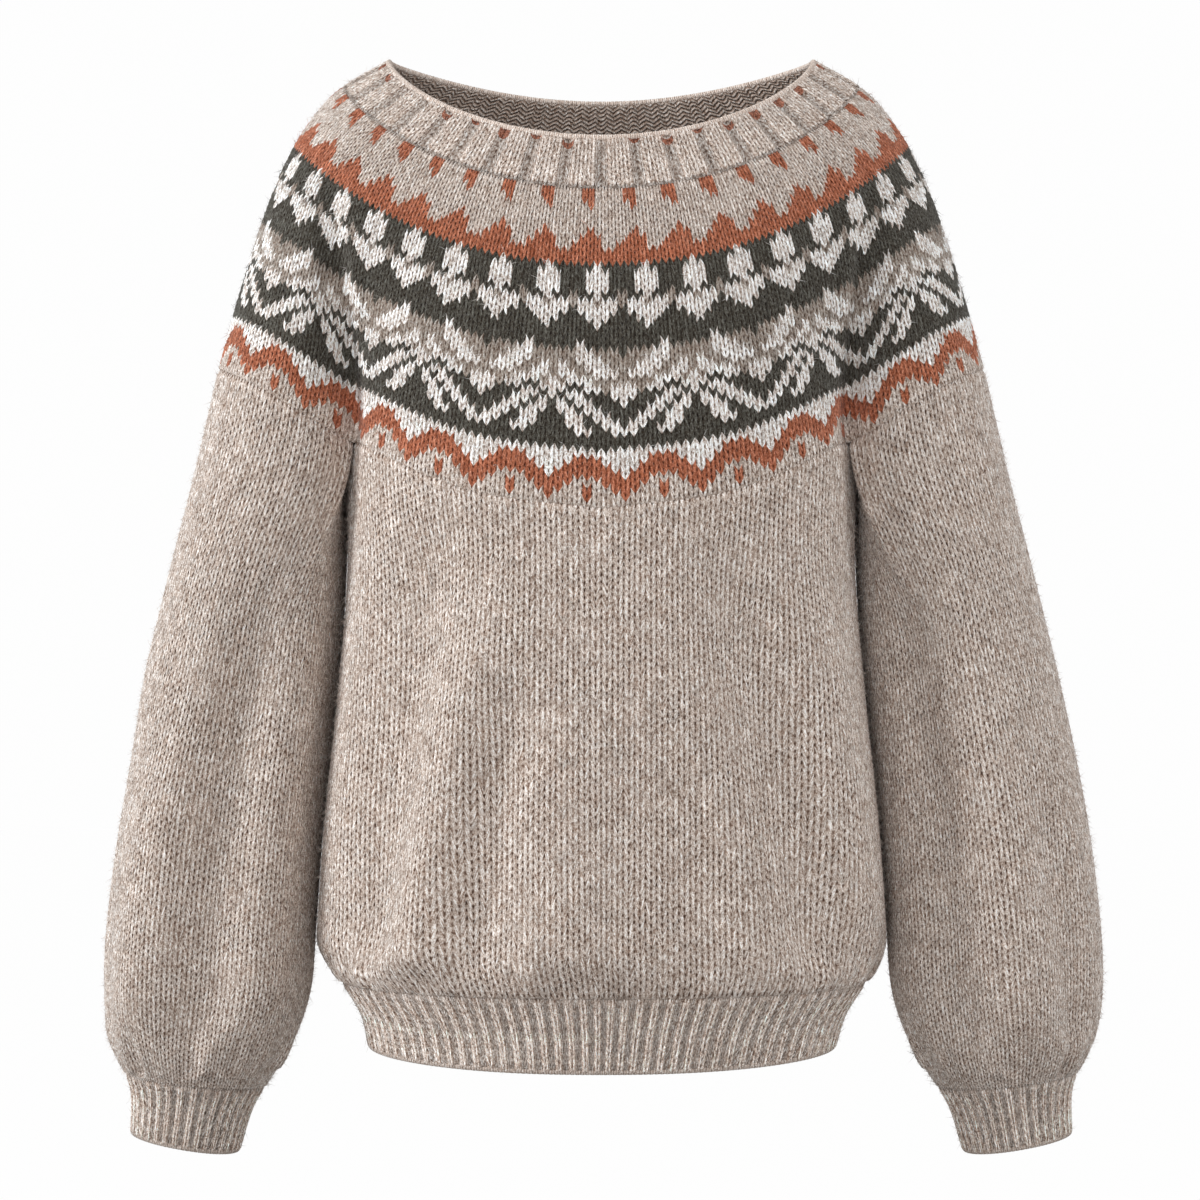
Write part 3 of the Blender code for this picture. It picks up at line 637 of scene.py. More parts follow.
def wrapped_grid(name, sheet, wale, course):
    """A flat grid whose points are laid on a sheet, counted in wales and courses."""
    down, across = len(sheet) - 1, sheet.shape[1] - 1
    bpy.ops.object.select_all(action="DESELECT")
    bpy.ops.mesh.primitive_grid_add(x_subdivisions=across, y_subdivisions=down, size=1.0)
    piece = bpy.context.object
    piece.name = piece.data.name = name
    mesh = piece.data
    assert len(mesh.vertices) == (down + 1) * (across + 1), "grid size"
    mesh.vertices.foreach_set("co", sheet.reshape(-1))
    mesh.uv_layers[0].name = "OFBake"
    corner = np.empty(len(mesh.loops), dtype=np.int32)
    mesh.loops.foreach_get("vertex_index", corner)
    row, column = corner // (across + 1), corner % (across + 1)
    counted = mesh.uv_layers.new(name="stitches")
    counted.data.foreach_set("uv", np.stack([wale[column], course[row]], -1).reshape(-1))
    return piece


def paint_yarn(mesh, colours):
    """One colour for each face, held by its four corners."""
    corners = np.ones((colours.shape[0] * colours.shape[1], 4, 4), dtype=np.float32)
    corners[..., :3] = colours.reshape(-1, 1, 3)
    yarn = mesh.color_attributes.new(name="yarn", type="FLOAT_COLOR", domain="CORNER")
    yarn.data.foreach_set("color", corners.reshape(-1))


def close_seams(mesh):
    bpy.ops.object.mode_set(mode="EDIT")
    bpy.ops.mesh.select_all(action="SELECT")
    bpy.ops.mesh.remove_doubles(threshold=MERGE)
    bpy.ops.object.mode_set(mode="OBJECT")
    mesh.shade_smooth()
    mesh.update()


print("the wall's edges are merged within", 1000 * MERGE, "mm")

# %% [markdown]
# No two stitches of hand knitting are quite alike, so each gets a small change of depth and of
# tone. Where two pieces join, the real fabric goes on without a step. Here the lower piece's
# first course starts at one even depth and is tucked up under the last course of the one
# above, which turns in a little, and the ribs rise out of that plain course with some ease.
# %% The stitches of a wall
STITCH_UNEVEN = 0.18
UNEVEN_RANGE = (0.5, 1.6)
YARN_UNEVEN = 0.06
THINNEST = 0.0006
TUCK_UP, TUCK_IN = 0.0018, 0.0010
JOIN_DEPTH = 0.0009
TURNED_IN = 0.0015
COLUMNS_A_STITCH = 4


def tiled(stitch, key, repeats):
    """A value of each column of a stitch, repeated all the way round."""
    return np.tile([getattr(column, key) for column in stitch], repeats)


def stitched_face(smooth, normal, stitch, repeats, wall, ease, edges, chance):
    """The outer points, with slanted legs laid in by the depth of their columns."""
    numbers = np.arange(len(smooth))
    to_end = np.minimum(numbers, numbers[::-1])
    rows = numbers[:, None] + tiled(stitch, "slant", repeats) * np.minimum(to_end, 2)[:, None]
    outward = read_between(normal, rows)
    depth = np.where((numbers % 2 == 0)[:, None], tiled(stitch, "groove", repeats),
                     tiled(stitch, "middle", repeats))
    uneven = 1.0 + STITCH_UNEVEN * chance.standard_normal(depth.shape)
    depth = np.minimum(depth * np.clip(uneven, *UNEVEN_RANGE), wall - THINNEST)
    if ease:
        depth = JOIN_DEPTH + (depth - JOIN_DEPTH) * smooth_step(numbers / ease)[:, None]
    for end, edge in zip((0, -1), edges):
        if edge is not None:
            depth[end] = edge
    return read_between(smooth, rows) - outward * depth[..., None], outward


def uneven_yarn_and_painted_light(stitch, repeats, courses, chart_row, half_row, inside, ease, chance):
    """How light each face is: uneven from stitch to stitch at random, with painted shade in the gutters
    and painted light on the raised legs.
    """
    width = len(stitch)
    shade = chance.standard_normal((courses, repeats * max(1, width // COLUMNS_A_STITCH)))
    shade = 1.0 + YARN_UNEVEN * shade
    stitch_number = np.arange(repeats * width) // COLUMNS_A_STITCH
    shade = shade[chart_row][:, np.minimum(stitch_number, shade.shape[1] - 1)]
    tone = tiled(stitch, "tone", repeats)
    tone = np.broadcast_to((tone + np.roll(tone, -1))[None, :] / 2, shade.shape)
    # Near a join the painted shade and light of the columns fade in.
    if ease:
        tone = 1.0 + (tone - 1.0) * smooth_step((half_row + 1.0) / (ease + 2.0))[:, None]
    return shade * np.where(inside[:, None], 1.0, tone)


print("stitches vary by", STITCH_UNEVEN, "in depth and", YARN_UNEVEN, "in tone")

# %% [markdown]
# The inside of a wall has far fewer rings than its outside, because the wrong side shows only
# at the neck. Each of its rings takes the mean colour of its course: behind colourwork the
# unused yarns lie as loose strands, and from a step away they blend.
# %% Knit a wall
Knit = namedtuple("Knit", "piece points normals colours")


def knit_wall(name, form, repeats, stitch, courses, colour_of, *, wall=WALL, inner_spans=8,
              level=(0, 0), edges=(None, None), ease=0, tucked=False, seam_painted_shade=1.0, lining=None,
              seed=1):
    chance = np.random.default_rng(seed)
    last = 2 * courses
    places = (np.arange(repeats)[:, None] + [column.place for column in stitch]) / repeats
    places = places.reshape(-1)
    fine_rows = np.linspace(0.0, 1.0, last + 1)
    smooth = form(fine_rows, places)
    normal = levelled(normals_of(smooth), fine_rows, *level)
    outer, outward = stitched_face(smooth, normal, stitch, repeats, wall, ease, edges, chance)

    inner_rows = np.linspace(0.0, 1.0, inner_spans + 1) * last
    inner_rows = np.broadcast_to(inner_rows[:, None], (inner_spans + 1, len(places)))
    inner = read_between(smooth, inner_rows) - read_between(normal, inner_rows) * wall
    if tucked:
        outer[0] += unit(smooth[0] - smooth[2]) * TUCK_UP - normal[0] * TUCK_IN
    rims = [((outer[end] + inner[end]) / 2)[None] for end in (0, -1)]
    sheet = np.concatenate([outer[::-1], rims[0], inner, rims[1], outer[-1:]])
    sheet = np.concatenate([sheet, sheet[:, :1]], axis=1)

    whole = np.floor(max(column.wale for column in stitch)) + 1.0
    wale = tiled(stitch, "wale", repeats) + np.repeat(np.arange(repeats), len(stitch)) * whole
    wale = np.append(wale, repeats * whole)
    course = np.concatenate([np.arange(last, -1, -1) / 2.0, [0.0], inner_rows[:, 0] / 2.0,
                             [courses], [courses]])
    piece = wrapped_grid(name, sheet, wale, course)

    face_row = np.arange(len(sheet) - 1)
    half_row = np.clip(last - 1 - face_row, 0, last - 1)
    inside = face_row > last
    inner_part = np.clip((face_row - last - 1) / inner_spans, 0.0, 0.999)
    chart_row = np.where(inside, (inner_part * courses).astype(int), half_row // 2)
    colours = np.array(colour_of(chart_row, (places + np.append(places[1:], 1.0)) / 2))
    colours[inside] = colours[inside].mean(axis=1, keepdims=True) if lining is None else lining
    shade = uneven_yarn_and_painted_light(stitch, repeats, courses, chart_row, half_row, inside, ease, chance)
    # Painted shade along the lowest half course, in the groove where the piece meets the next one.
    shade[0] *= seam_painted_shade
    colours = np.clip(colours * shade[..., None], 0.0, 1.0)
    paint_yarn(piece.data, colours)
    sides = np.repeat(inside.astype(np.int32), len(places))
    piece.data.polygons.foreach_set("material_index", sides)
    close_seams(piece.data)
    return Knit(piece, outer, outward, colours[:last][::-1])


print("a stockinette stitch has", len(STOCKINETTE), "columns of points")

# %% [markdown]
# ## Colours of the yarns
# Five yarns are used: beige, white, dark grey, rust and taupe. Each is a heather: wool dyed in
# several shades and spun together, so the colours below are only the middle of each.
# %% Yarn colours
def linear(code):
    """A colour written as sRGB hex, turned linear."""
    value = np.array([int(code[i:i + 2], 16) for i in (1, 3, 5)]) / 255.0
    return np.where(value <= 0.04045, value / 12.92, ((value + 0.055) / 1.055) ** 2.4)


YARNS = {
    "b": linear("#d9cbc1"),
    "w": linear("#f7f2ee"),
    "d": linear("#504d46"),
    "r": linear("#b86f52"),
    "t": linear("#a79b91"),
}
print("yarns:", {name: [round(float(v), 3) for v in value] for name, value in YARNS.items()})

# %% [markdown]
# ## The charts
# A colourwork yoke is knitted from charts, one letter a stitch, read from the top row here.
# They are an old kind of pattern, and they are drawn as a knitter would, not taken from a
# picture. Buds and their leaves go round 36 times, the tall leaves 14 times and the scallops 28
# times. The letters are the first letters of the yarns, and r is rust.
# %% Charts of the yoke
BUD_CHART = """
brrbbb brrbbb bbrbbb bbbbbb bbbbbb bbbbbb bbrbbb brrrbb rrrrbb rrrrrr rrrrrr
dddwdd ddwwwd ddwwwd ddwwwd tddwdd twwtww dwwwww ddwwwd dddwdd dddddd dddddd
""".split()
LEAF_CHART = """
dddwdddddddddwdd tttwwtttdtttwwtt tttwwwtttttwwwtt twttwwwtttwwwttw
twwttwwwtwwwttww wtwwwtttttttwwwt wwddwwtwwwtwwddw wdwwdddwwwdddwwd
dwdwwdddwdddwwdw dwwdwwdddddwwdww ddwwdwwdddwwdwwd ddwwddwwdwwddwwd
dddwwddwwwddwwdd dddddddddddddddd dddddddddddddddd
""".split()
SCALLOP_CHART = "wwwwwwww rrwwwwwr rrrwwwrr rrrrwrrr bbrrrrrb rbbrrrbb rbbbrbbb bbbbbbbb".split()
YOKE_WALES = 224
YOKE_COURSES = len(BUD_CHART) + len(LEAF_CHART) + len(SCALLOP_CHART)
BUD_WIDTH, LEAF_WIDTH, SCALLOP_WIDTH = len(BUD_CHART[0]), len(LEAF_CHART[0]), len(SCALLOP_CHART[0])
BUD_REPEATS = 36
BUD_START = 3.5
BUD_SHIFT = -0.0022
LEAF_SHIFT = 2


def yoke_colours(rows, places):
    """The chart's yarn for each course and place round the yoke."""
    colours = np.zeros((len(rows), len(places), 3))
    wale = np.floor(places * YOKE_WALES).astype(int)
    bud = ((places - BUD_SHIFT) * BUD_REPEATS + BUD_START / BUD_WIDTH) % 1.0
    bud = np.floor(bud * BUD_WIDTH).astype(int)
    for i, row in enumerate(rows):
        if row < len(BUD_CHART):
            chart, at = BUD_CHART[row], bud
        elif row < len(BUD_CHART) + len(LEAF_CHART):
            chart = LEAF_CHART[row - len(BUD_CHART)]
            at = (wale - LEAF_SHIFT + LEAF_WIDTH // 2) % LEAF_WIDTH
        else:
            chart = SCALLOP_CHART[row - len(BUD_CHART) - len(LEAF_CHART)]
            at = (wale - LEAF_SHIFT + SCALLOP_WIDTH // 2) % SCALLOP_WIDTH
        line = np.array([YARNS[letter] for letter in chart])
        colours[i] = line[at]
    return colours


def one_yarn(letter):
    def colour_of(rows, places):
        return np.broadcast_to(YARNS[letter], (len(rows), len(places), 3))
    return colour_of


print("the yoke has", YOKE_WALES, "stitches and", YOKE_COURSES, "courses")

# %% [markdown]
# ## Heather wool
# Wool is rough and has no highlight, but its loose fibres catch light at the edges, which a
# little sheen gives. Up close it is streaked along the yarn and flecked with lighter and darker
# fibres. The small holes between the legs of the stitches get painted shade, and each leg gets
# painted light along its middle and painted shade in the grooves beside it. Photographs of cloth
# would show this in one size and one light only, so it is made of noise and of the count of
# wales and courses. A real fibre is 0.02 to 0.04 mm thick. Flecks that fine don't show, so
# they are drawn 1.2 mm wide, about a third of a leg of yarn.
# %% Sizes in the wool
FLECK_SIZE = 0.0012
FLECK_SHARE = 0.42
STREAKS = 4.2
LEG_SLOPE = 0.6
# Painted shade at the edges of a leg of yarn and painted light along its middle.
LEG_EDGE_PAINTED_SHADE, LEG_MIDDLE_PAINTED_LIGHT = 0.80, 1.10
# Painted shade in the holes between the legs, stronger in some patches than in others.
HOLE_WIDTH = 0.085
HOLE_HEIGHT = 0.24
HOLE_PLACES = ((0.5, 0.06), (0.0, 0.5))
HOLE_DARK, HOLE_GONE = 0.45, 1.25
HOLE_PATCH = 0.020
PATCH_LOW, PATCH_HIGH, CLOSED_HOLES = 0.35, 0.65, 0.45
CLOUD_SIZE = 0.030
CLOUD_TONES = (0.96, 1.04)
PURL_STRANDS = 1.2
PALEST, DARKEST = 1.75, 0.16
WARM_DARKS = (1.0, 1.27, 1.46)
STRAY_FIBRE = (0.085, 0.078, 0.068)
print("flecks of", 1000 * FLECK_SIZE, "mm and clouds of", 1000 * CLOUD_SIZE, "mm")


# %% Streaks, flecks and holes
def add(tree, kind, inputs=None, **settings):
    """Adds a node with its settings, values and links, and gives its first output."""
    made = tree.nodes.new(kind)
    for name, value in settings.items():
        setattr(made, name, value)
    for name, value in (inputs or {}).items():
        if isinstance(value, bpy.types.NodeSocket):
            tree.links.new(value, made.inputs[name])
        else:
            made.inputs[name].default_value = value
    return made.outputs[0] if made.outputs else None


def speckled(tree, wale, course, place):
    """Fibres that run up the legs of each V, and flecks of other fibres; about a half."""
    leg = add(tree, "ShaderNodeMath", {0: wale, 1: 0.5}, operation="PINGPONG")
    across = add(tree, "ShaderNodeMath", {0: leg, 1: -2.0 * STREAKS}, operation="MULTIPLY")
    across = add(tree, "ShaderNodeMath", {0: course, 1: LEG_SLOPE * STREAKS, 2: across},
                 operation="MULTIPLY_ADD")
    streak_at = add(tree, "ShaderNodeCombineXYZ", {
        0: across, 1: course,
        2: add(tree, "ShaderNodeMath", {0: wale, 1: 2.0}, operation="MULTIPLY")})
    streak = add(tree, "ShaderNodeTexNoise",
                 {"Vector": streak_at, "Scale": 1.0, "Detail": 1.0, "Roughness": 0.7})
    fleck = add(tree, "ShaderNodeTexNoise",
                {"Vector": place, "Scale": 1.0 / FLECK_SIZE, "Detail": 1.0, "Roughness": 0.8})
    return add(tree, "ShaderNodeMix", {0: FLECK_SHARE, 2: streak, 3: fleck})


def painted_leg_light(tree, wale):
    """Painted light along the middle of each leg and painted shade in the grooves beside it."""
    twice = add(tree, "ShaderNodeMath", {0: wale, 1: 2.0}, operation="MULTIPLY")
    ridge = add(tree, "ShaderNodeMath", {0: twice, 1: 0.5}, operation="PINGPONG")
    return add(tree, "ShaderNodeMapRange", {"Value": ridge, "From Max": 0.5, "To Min": LEG_EDGE_PAINTED_SHADE,
                                            "To Max": LEG_MIDDLE_PAINTED_LIGHT}, interpolation_type="SMOOTHSTEP")


def painted_hole_shade(tree, wale, course, at):
    """Painted shade in one small hole of each stitch, at a place in wales and courses."""
    sides = []
    for value, middle, reach in ((wale, at[0], HOLE_WIDTH), (course, at[1], HOLE_HEIGHT)):
        moved = add(tree, "ShaderNodeMath", {0: value, 1: middle}, operation="SUBTRACT")
        near = add(tree, "ShaderNodeMath", {0: moved, 1: 0.5}, operation="PINGPONG")
        sides.append(add(tree, "ShaderNodeMath", {0: near, 1: reach}, operation="DIVIDE"))
    away = add(tree, "ShaderNodeCombineXYZ", {0: sides[0], 1: sides[1]})
    length = add(tree, "ShaderNodeVectorMath", {0: away}, operation="LENGTH").node.outputs["Value"]
    return add(tree, "ShaderNodeMapRange", {"Value": length, "From Min": HOLE_DARK,
                                            "From Max": HOLE_GONE, "To Min": 1.0, "To Max": 0.0})


def purl_lines(tree, wale, course):
    """Zigzag strands of the wrong side, with painted shade between them."""
    zigzag = add(tree, "ShaderNodeMath", {0: wale, 1: 1.0}, operation="PINGPONG")
    strands = add(tree, "ShaderNodeMath", {0: course, 1: PURL_STRANDS}, operation="MULTIPLY")
    both = add(tree, "ShaderNodeMath", {0: strands, 1: zigzag}, operation="ADD")
    near = add(tree, "ShaderNodeMath", {0: both, 1: 0.5}, operation="PINGPONG")
    return add(tree, "ShaderNodeMapRange", {"Value": near, "From Min": 0.03, "From Max": 0.42,
                                            "To Min": 1.0, "To Max": 0.0})


print("streaks:", STREAKS, "to a leg of yarn")

# %% [markdown]
# One function mixes all the wools, because they are one yarn, knitted in different ways. The
# painted shade of the holes and grooves, the painted light along the legs and the flecks multiply
# the yarn's own colour, darker parts turn warmer, as wool does in its own shade, and a few pale
# stray fibres lie over all of it.
# %% The knitted wools
def new_material(name):
    material = bpy.data.materials.new(name)
    material.use_nodes = True
    tree = material.node_tree
    return material, tree, tree.nodes["Principled BSDF"]


def wool(name, *, fleck=0.72, hole=0.88, stray=1.0, sheen=0.15, purl=False):
    material, tree, shader = new_material(name)
    wale = add(tree, "ShaderNodeSeparateXYZ", {0: add(tree, "ShaderNodeUVMap", uv_map="stitches")})
    course = wale.node.outputs[1]
    place = add(tree, "ShaderNodeTexCoord").node.outputs["Object"]
    fibres = speckled(tree, wale, course, place)
    if purl:
        dark = purl_lines(tree, wale, course)
    else:
        spots = [painted_hole_shade(tree, wale, course, at) for at in HOLE_PLACES]
        dark = add(tree, "ShaderNodeMath", dict(enumerate(spots)), operation="MAXIMUM")
        patches = add(tree, "ShaderNodeTexNoise", {"Vector": place, "Scale": 1.0 / HOLE_PATCH})
        open_here = add(tree, "ShaderNodeMapRange", {
            "Value": patches, "From Min": PATCH_LOW, "From Max": PATCH_HIGH,
            "To Min": CLOSED_HOLES})
        dark = add(tree, "ShaderNodeMath", {0: dark, 1: open_here}, operation="MULTIPLY")
    cloud = add(tree, "ShaderNodeTexNoise", {
        "Vector": add(tree, "ShaderNodeVectorMath", {0: place, 1: (1.0, 1.0, 3.0)},
                      operation="MULTIPLY"), "Scale": 1.0 / CLOUD_SIZE, "Detail": 1.0})
    cloudy = add(tree, "ShaderNodeMapRange", {
        "Value": cloud, "From Min": 0.3, "From Max": 0.7,
        "To Min": CLOUD_TONES[0], "To Max": CLOUD_TONES[1]})
    tone = add(tree, "ShaderNodeMapRange",
               {"Value": fibres, "From Min": 0.32, "From Max": 0.68,
                "To Min": 1.0 - fleck, "To Max": 1.0 + fleck}, clamp=False)
    # Painted shade: in the holes on the right side, and between the strands on the wrong side.
    shade = add(tree, "ShaderNodeMapRange", {"Value": dark, "To Min": 1.0, "To Max": 1.0 - hole})
    for factor in (shade, cloudy) if purl else (shade, cloudy, painted_leg_light(tree, wale)):
        tone = add(tree, "ShaderNodeMath", {0: tone, 1: factor}, operation="MULTIPLY")
    tone = add(tree, "ShaderNodeClamp", {0: tone, "Min": DARKEST, "Max": PALEST})
    yarn = add(tree, "ShaderNodeAttribute", attribute_name="yarn")
    warm = add(tree, "ShaderNodeVectorMath", {0: tone, 1: WARM_DARKS}, operation="POWER")
    colour = add(tree, "ShaderNodeVectorMath", {0: yarn, 1: warm}, operation="MULTIPLY")
    strays = add(tree, "ShaderNodeMapRange", {"Value": fibres, "From Min": 0.5, "From Max": 0.72,
                                              "To Max": stray})
    pale = add(tree, "ShaderNodeVectorMath", {0: STRAY_FIBRE, "Scale": strays}, operation="SCALE")
    colour = add(tree, "ShaderNodeVectorMath", {0: colour, 1: pale}, operation="ADD")
    tree.links.new(colour, shader.inputs["Base Color"])

    raised = add(tree, "ShaderNodeMath", {0: fibres, 1: dark}, operation="SUBTRACT")
    relief = add(tree, "ShaderNodeBump", {"Strength": 1.0, "Distance": 0.001, "Height": raised})
    tree.links.new(relief, shader.inputs["Normal"])
    shader.inputs["Roughness"].default_value = 0.95
    shader.inputs["Specular IOR Level"].default_value = 0.12
    shader.inputs["Sheen Weight"].default_value = sheen
    shader.inputs["Sheen Roughness"].default_value = 0.45
    return material


# Stockinette: smooth Vs, speckled all over, with painted shade in a pinhole at the foot of each.
plain_wool = wool("heather_wool_stockinette")
# Colourwork: two yarns at a time make a firmer face, and stray fibres of one lie on the other.
colour_wool = wool("colourwork_wool_stockinette", fleck=0.68, hole=0.85, stray=1.5)
# Ribs: the knitting closes up between the gutters, so the painted shade in the holes is fainter.
rib_wool = wool("broad_ribbed_heather_wool", fleck=0.8, hole=0.6)
fine_rib_wool = wool("fine_ribbed_heather_wool", fleck=0.8, hole=0.35)
# Cast-off edge: one tight cord of yarn, nearly without holes.
edge_wool = wool("cast_off_heather_wool", fleck=0.45, hole=0.1)
# Wrong side: rows of purl bumps that read as zigzags, with painted shade between them, dull and out of
# the light.
inside_wool = wool("wrong_side_of_the_knitting", fleck=0.7, hole=0.5, sheen=0.1, purl=True)
print("materials:", sorted(material.name for material in bpy.data.materials))

# %% [markdown]
# ## Loose fibres
# The wool is fuzzy: fine hairs stand out all over it, and show as a halo along the outline.
# Hair particles would do it in one picture only, so here each hair is a thin closed spike of
# four triangles, rooted just under the surface and coloured like the yarn below it. All the
# hairs of a piece are one mesh, made by numpy because there are thousands. A spike is 0.3 mm
# thick at its root, several times a real fibre, because a finer one would vanish.
# %% Fuzz on a knitted piece
HAIRS_A_SQUARE_METRE = 52000
HAIR_LENGTHS = (0.0025, 0.0075)
HAIR_RADIUS = 0.00015
HAIR_ROOT_DEPTH = 0.0002
HAIR_RISE = (0.25, 1.0)
LYING_LENGTH = 0.6
HAIR_TONES = (0.9, 1.5)
HAIR_PALER = 0.03
SPIKE_FACES = ((0, 1, 3), (1, 2, 3), (2, 0, 3), (0, 2, 1))


def grow_fuzz(name, knit, area, material, seed):
    chance = np.random.default_rng(seed)
    count = int(HAIRS_A_SQUARE_METRE * area)
    rows = chance.integers(1, knit.points.shape[0] - 1, count)
    columns = chance.integers(0, knit.points.shape[1], count)
    normal = knit.normals[rows, columns]
    root = knit.points[rows, columns] - normal * HAIR_ROOT_DEPTH
    lean = unit(np.cross(normal, chance.standard_normal((count, 3))))
    rise = chance.uniform(*HAIR_RISE, (count, 1))
    along = unit(normal * rise + lean)
    length = chance.uniform(*HAIR_LENGTHS, (count, 1))
    length = length * (LYING_LENGTH + (1.0 - LYING_LENGTH) * rise)
    tip = root + along * length
    side = unit(np.cross(along, normal + 1e-4))
    up = np.cross(side, along)
    corners = [root + HAIR_RADIUS * (side * np.cos(a) + up * np.sin(a))
               for a in (0.0, 2 * pi / 3, 4 * pi / 3)]
    points = np.stack(corners + [tip], axis=1).reshape(-1, 3)
    first = 4 * np.arange(count)[:, None]
    faces = np.concatenate([first + np.array(face) for face in SPIKE_FACES])
    mesh = bpy.data.meshes.new(name)
    mesh.vertices.add(len(points))
    mesh.vertices.foreach_set("co", points.reshape(-1))
    mesh.loops.add(faces.size)
    mesh.loops.foreach_set("vertex_index", faces.reshape(-1).astype(np.int32))
    mesh.polygons.add(len(faces))
    mesh.polygons.foreach_set("loop_start", np.arange(0, faces.size, 3, dtype=np.int32))
    mesh.update(calc_edges=True)
    below = knit.colours[np.minimum(rows, knit.colours.shape[0] - 1), columns]
    paler = np.clip(below * chance.uniform(*HAIR_TONES, (count, 1)) + HAIR_PALER, 0.0, 1.0)
    colours = np.ones((len(points), 4), dtype=np.float32)
    colours[:, :3] = np.repeat(paler, 4, axis=0)
    yarn = mesh.color_attributes.new(name="yarn", type="FLOAT_COLOR", domain="POINT")
    yarn.data.foreach_set("color", colours.reshape(-1))
    mesh.materials.append(material)
    fuzz = bpy.data.objects.new(name, mesh)
    bpy.context.scene.collection.objects.link(fuzz)
    print(name, count, "hairs")
    return fuzz


def fibre(name):
    material, tree, shader = new_material(name)
    yarn = add(tree, "ShaderNodeAttribute", attribute_name="yarn")
    place = add(tree, "ShaderNodeTexCoord").node.outputs["Object"]
    fleck = add(tree, "ShaderNodeTexNoise", {"Vector": place, "Scale": 1.0 / FLECK_SIZE})
    tone = add(tree, "ShaderNodeMapRange", {"Value": fleck, "From Min": 0.3, "From Max": 0.7,
                                            "To Min": 0.8, "To Max": 1.2})
    colour = add(tree, "ShaderNodeVectorMath", {0: yarn, "Scale": tone}, operation="SCALE")
    tree.links.new(colour, shader.inputs["Base Color"])
    shader.inputs["Roughness"].default_value = 0.8
    shader.inputs["Specular IOR Level"].default_value = 0.2
    shader.inputs["Sheen Weight"].default_value = 0.2
    return material


# Single fibres are a little glossier than the yarn, so they glint along the outline.
loose_fibre = fibre("loose_wool_fibres")
print("fuzz of", HAIRS_A_SQUARE_METRE, "hairs a square metre")

# %% [markdown]
# ## Rolled edges
# The last course of a knitted piece is cast off as a chain of links, which makes a smooth
# cord along the edge. It could be a bevelled curve, but a grid wrapped round the edge can be
# thinned between the links and keeps the count of stitches for the yarn's streaks.
# %% Cast-off cord
CORD_SIDES = 8
POINTS_A_LINK = 3
FINE_RINGS = 41
CORD_OUT = 0.25
LINK_THIN, LINK_SWELL = 0.88, 0.18


def cast_off(name, form, at_top, wall, links, radius, tone):
    count = links * POINTS_A_LINK
    rows = form(np.linspace(0.0, 1.0, FINE_RINGS), np.arange(count) / count)
    normal = normals_of(rows)
    end, towards = (0, 1) if at_top else (-1, -2)
    away = unit(rows[end] - rows[towards])
    middle = rows[end] - normal[end] * wall / 2 + away * radius * CORD_OUT
    up = away if at_top else -away
    turn = 2 * pi * np.arange(CORD_SIDES + 1) / CORD_SIDES
    link = np.arange(count)[None, :] / POINTS_A_LINK + turn[:, None] / (2 * pi)
    size = radius * (LINK_THIN + LINK_SWELL * np.abs(np.sin(pi * link)))
    tube = middle[None] + size[..., None] * (np.cos(turn)[:, None, None] * normal[end][None]
                                             + np.sin(turn)[:, None, None] * up[None])
    tube = np.concatenate([tube, tube[:, :1]], axis=1)
    wale = np.arange(count + 1) / POINTS_A_LINK
    cord = wrapped_grid(name, tube, wale, turn / (2 * pi))
    # The cord's tone is painted light on the upturned neck cord and painted shade on the down-turned
    # hem and cuff cords.
    paint_yarn(cord.data, np.broadcast_to(YARNS["b"] * tone, (CORD_SIDES, count, 3)))
    close_seams(cord.data)
    cord.data.materials.append(edge_wool)
    print(name, links, "links")
    return cord


print("cords of", CORD_SIDES, "sides")

# %% [markdown]
# ## Knitting the pieces
# Now each piece is knitted from its form, its stitch and its chart. Each one takes the place
# of the plain wall of the same name and rides on the one body. Its flat knitted size gives the
# area that its fuzz grows on.
# %% Knit and dress a piece
def dress(knit, node, material, flat, area=None, edges=()):
    piece = knit.piece
    piece.data.materials.append(material)
    piece.data.materials.append(inside_wool)
    fuzz = grow_fuzz(node + "_fuzz", knit, area or flat[0] * flat[1], loose_fibre, len(node))
    trim = [fuzz, *edges]
    for shown in (piece, *trim):
        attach(shown, "root")
        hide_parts(node)
    faces = sum(len(face.vertices) - 2 for face in piece.data.polygons)
    print(piece.name, faces, "triangles")


# %% [markdown]
# The neckband is worked last, round the open neck: broad ribs with narrow purl gutters and a
# cast-off cord along its edge. A little rust yarn of the yoke is caught in its gutters.
# %% Neckband
NECK_RIBS = 36
NECK_COURSES = 9
NECK_LINKS = 260
NECK_CORD_RADIUS = 0.0019
# The neck cord faces up to the light and is painted paler than its yarn: painted light.
NECK_CORD_PAINTED_LIGHT = 1.28
# Painted shade in the groove along the neckband's seam with the yoke.
SEAM_PAINTED_SHADE = 0.55
SPECK_ROWS = (0, 1)
SPECK_SEED = 31
SPECK_REACH = 0.15
SPECK_SHARE = 0.6
SPECK_BLEND = 0.9


def neck_colours(rows, places):
    """Plain, with a little rust yarn caught at the top of the gutters."""
    colours = np.array(np.broadcast_to(YARNS["b"], (len(rows), len(places), 3)))
    chance = np.random.default_rng(SPECK_SEED)
    caught = chance.random((len(SPECK_ROWS), NECK_RIBS)) < SPECK_SHARE
    rib = np.rint(places * NECK_RIBS).astype(int) % NECK_RIBS
    in_gutter = np.abs(places * NECK_RIBS - np.rint(places * NECK_RIBS)) < SPECK_REACH
    for number, row in enumerate(SPECK_ROWS):
        speck = np.isin(rows, row)[:, None] & (in_gutter & caught[number, rib])[None, :]
        colours[speck] += (YARNS["r"] - YARNS["b"]) * SPECK_BLEND
    return colours


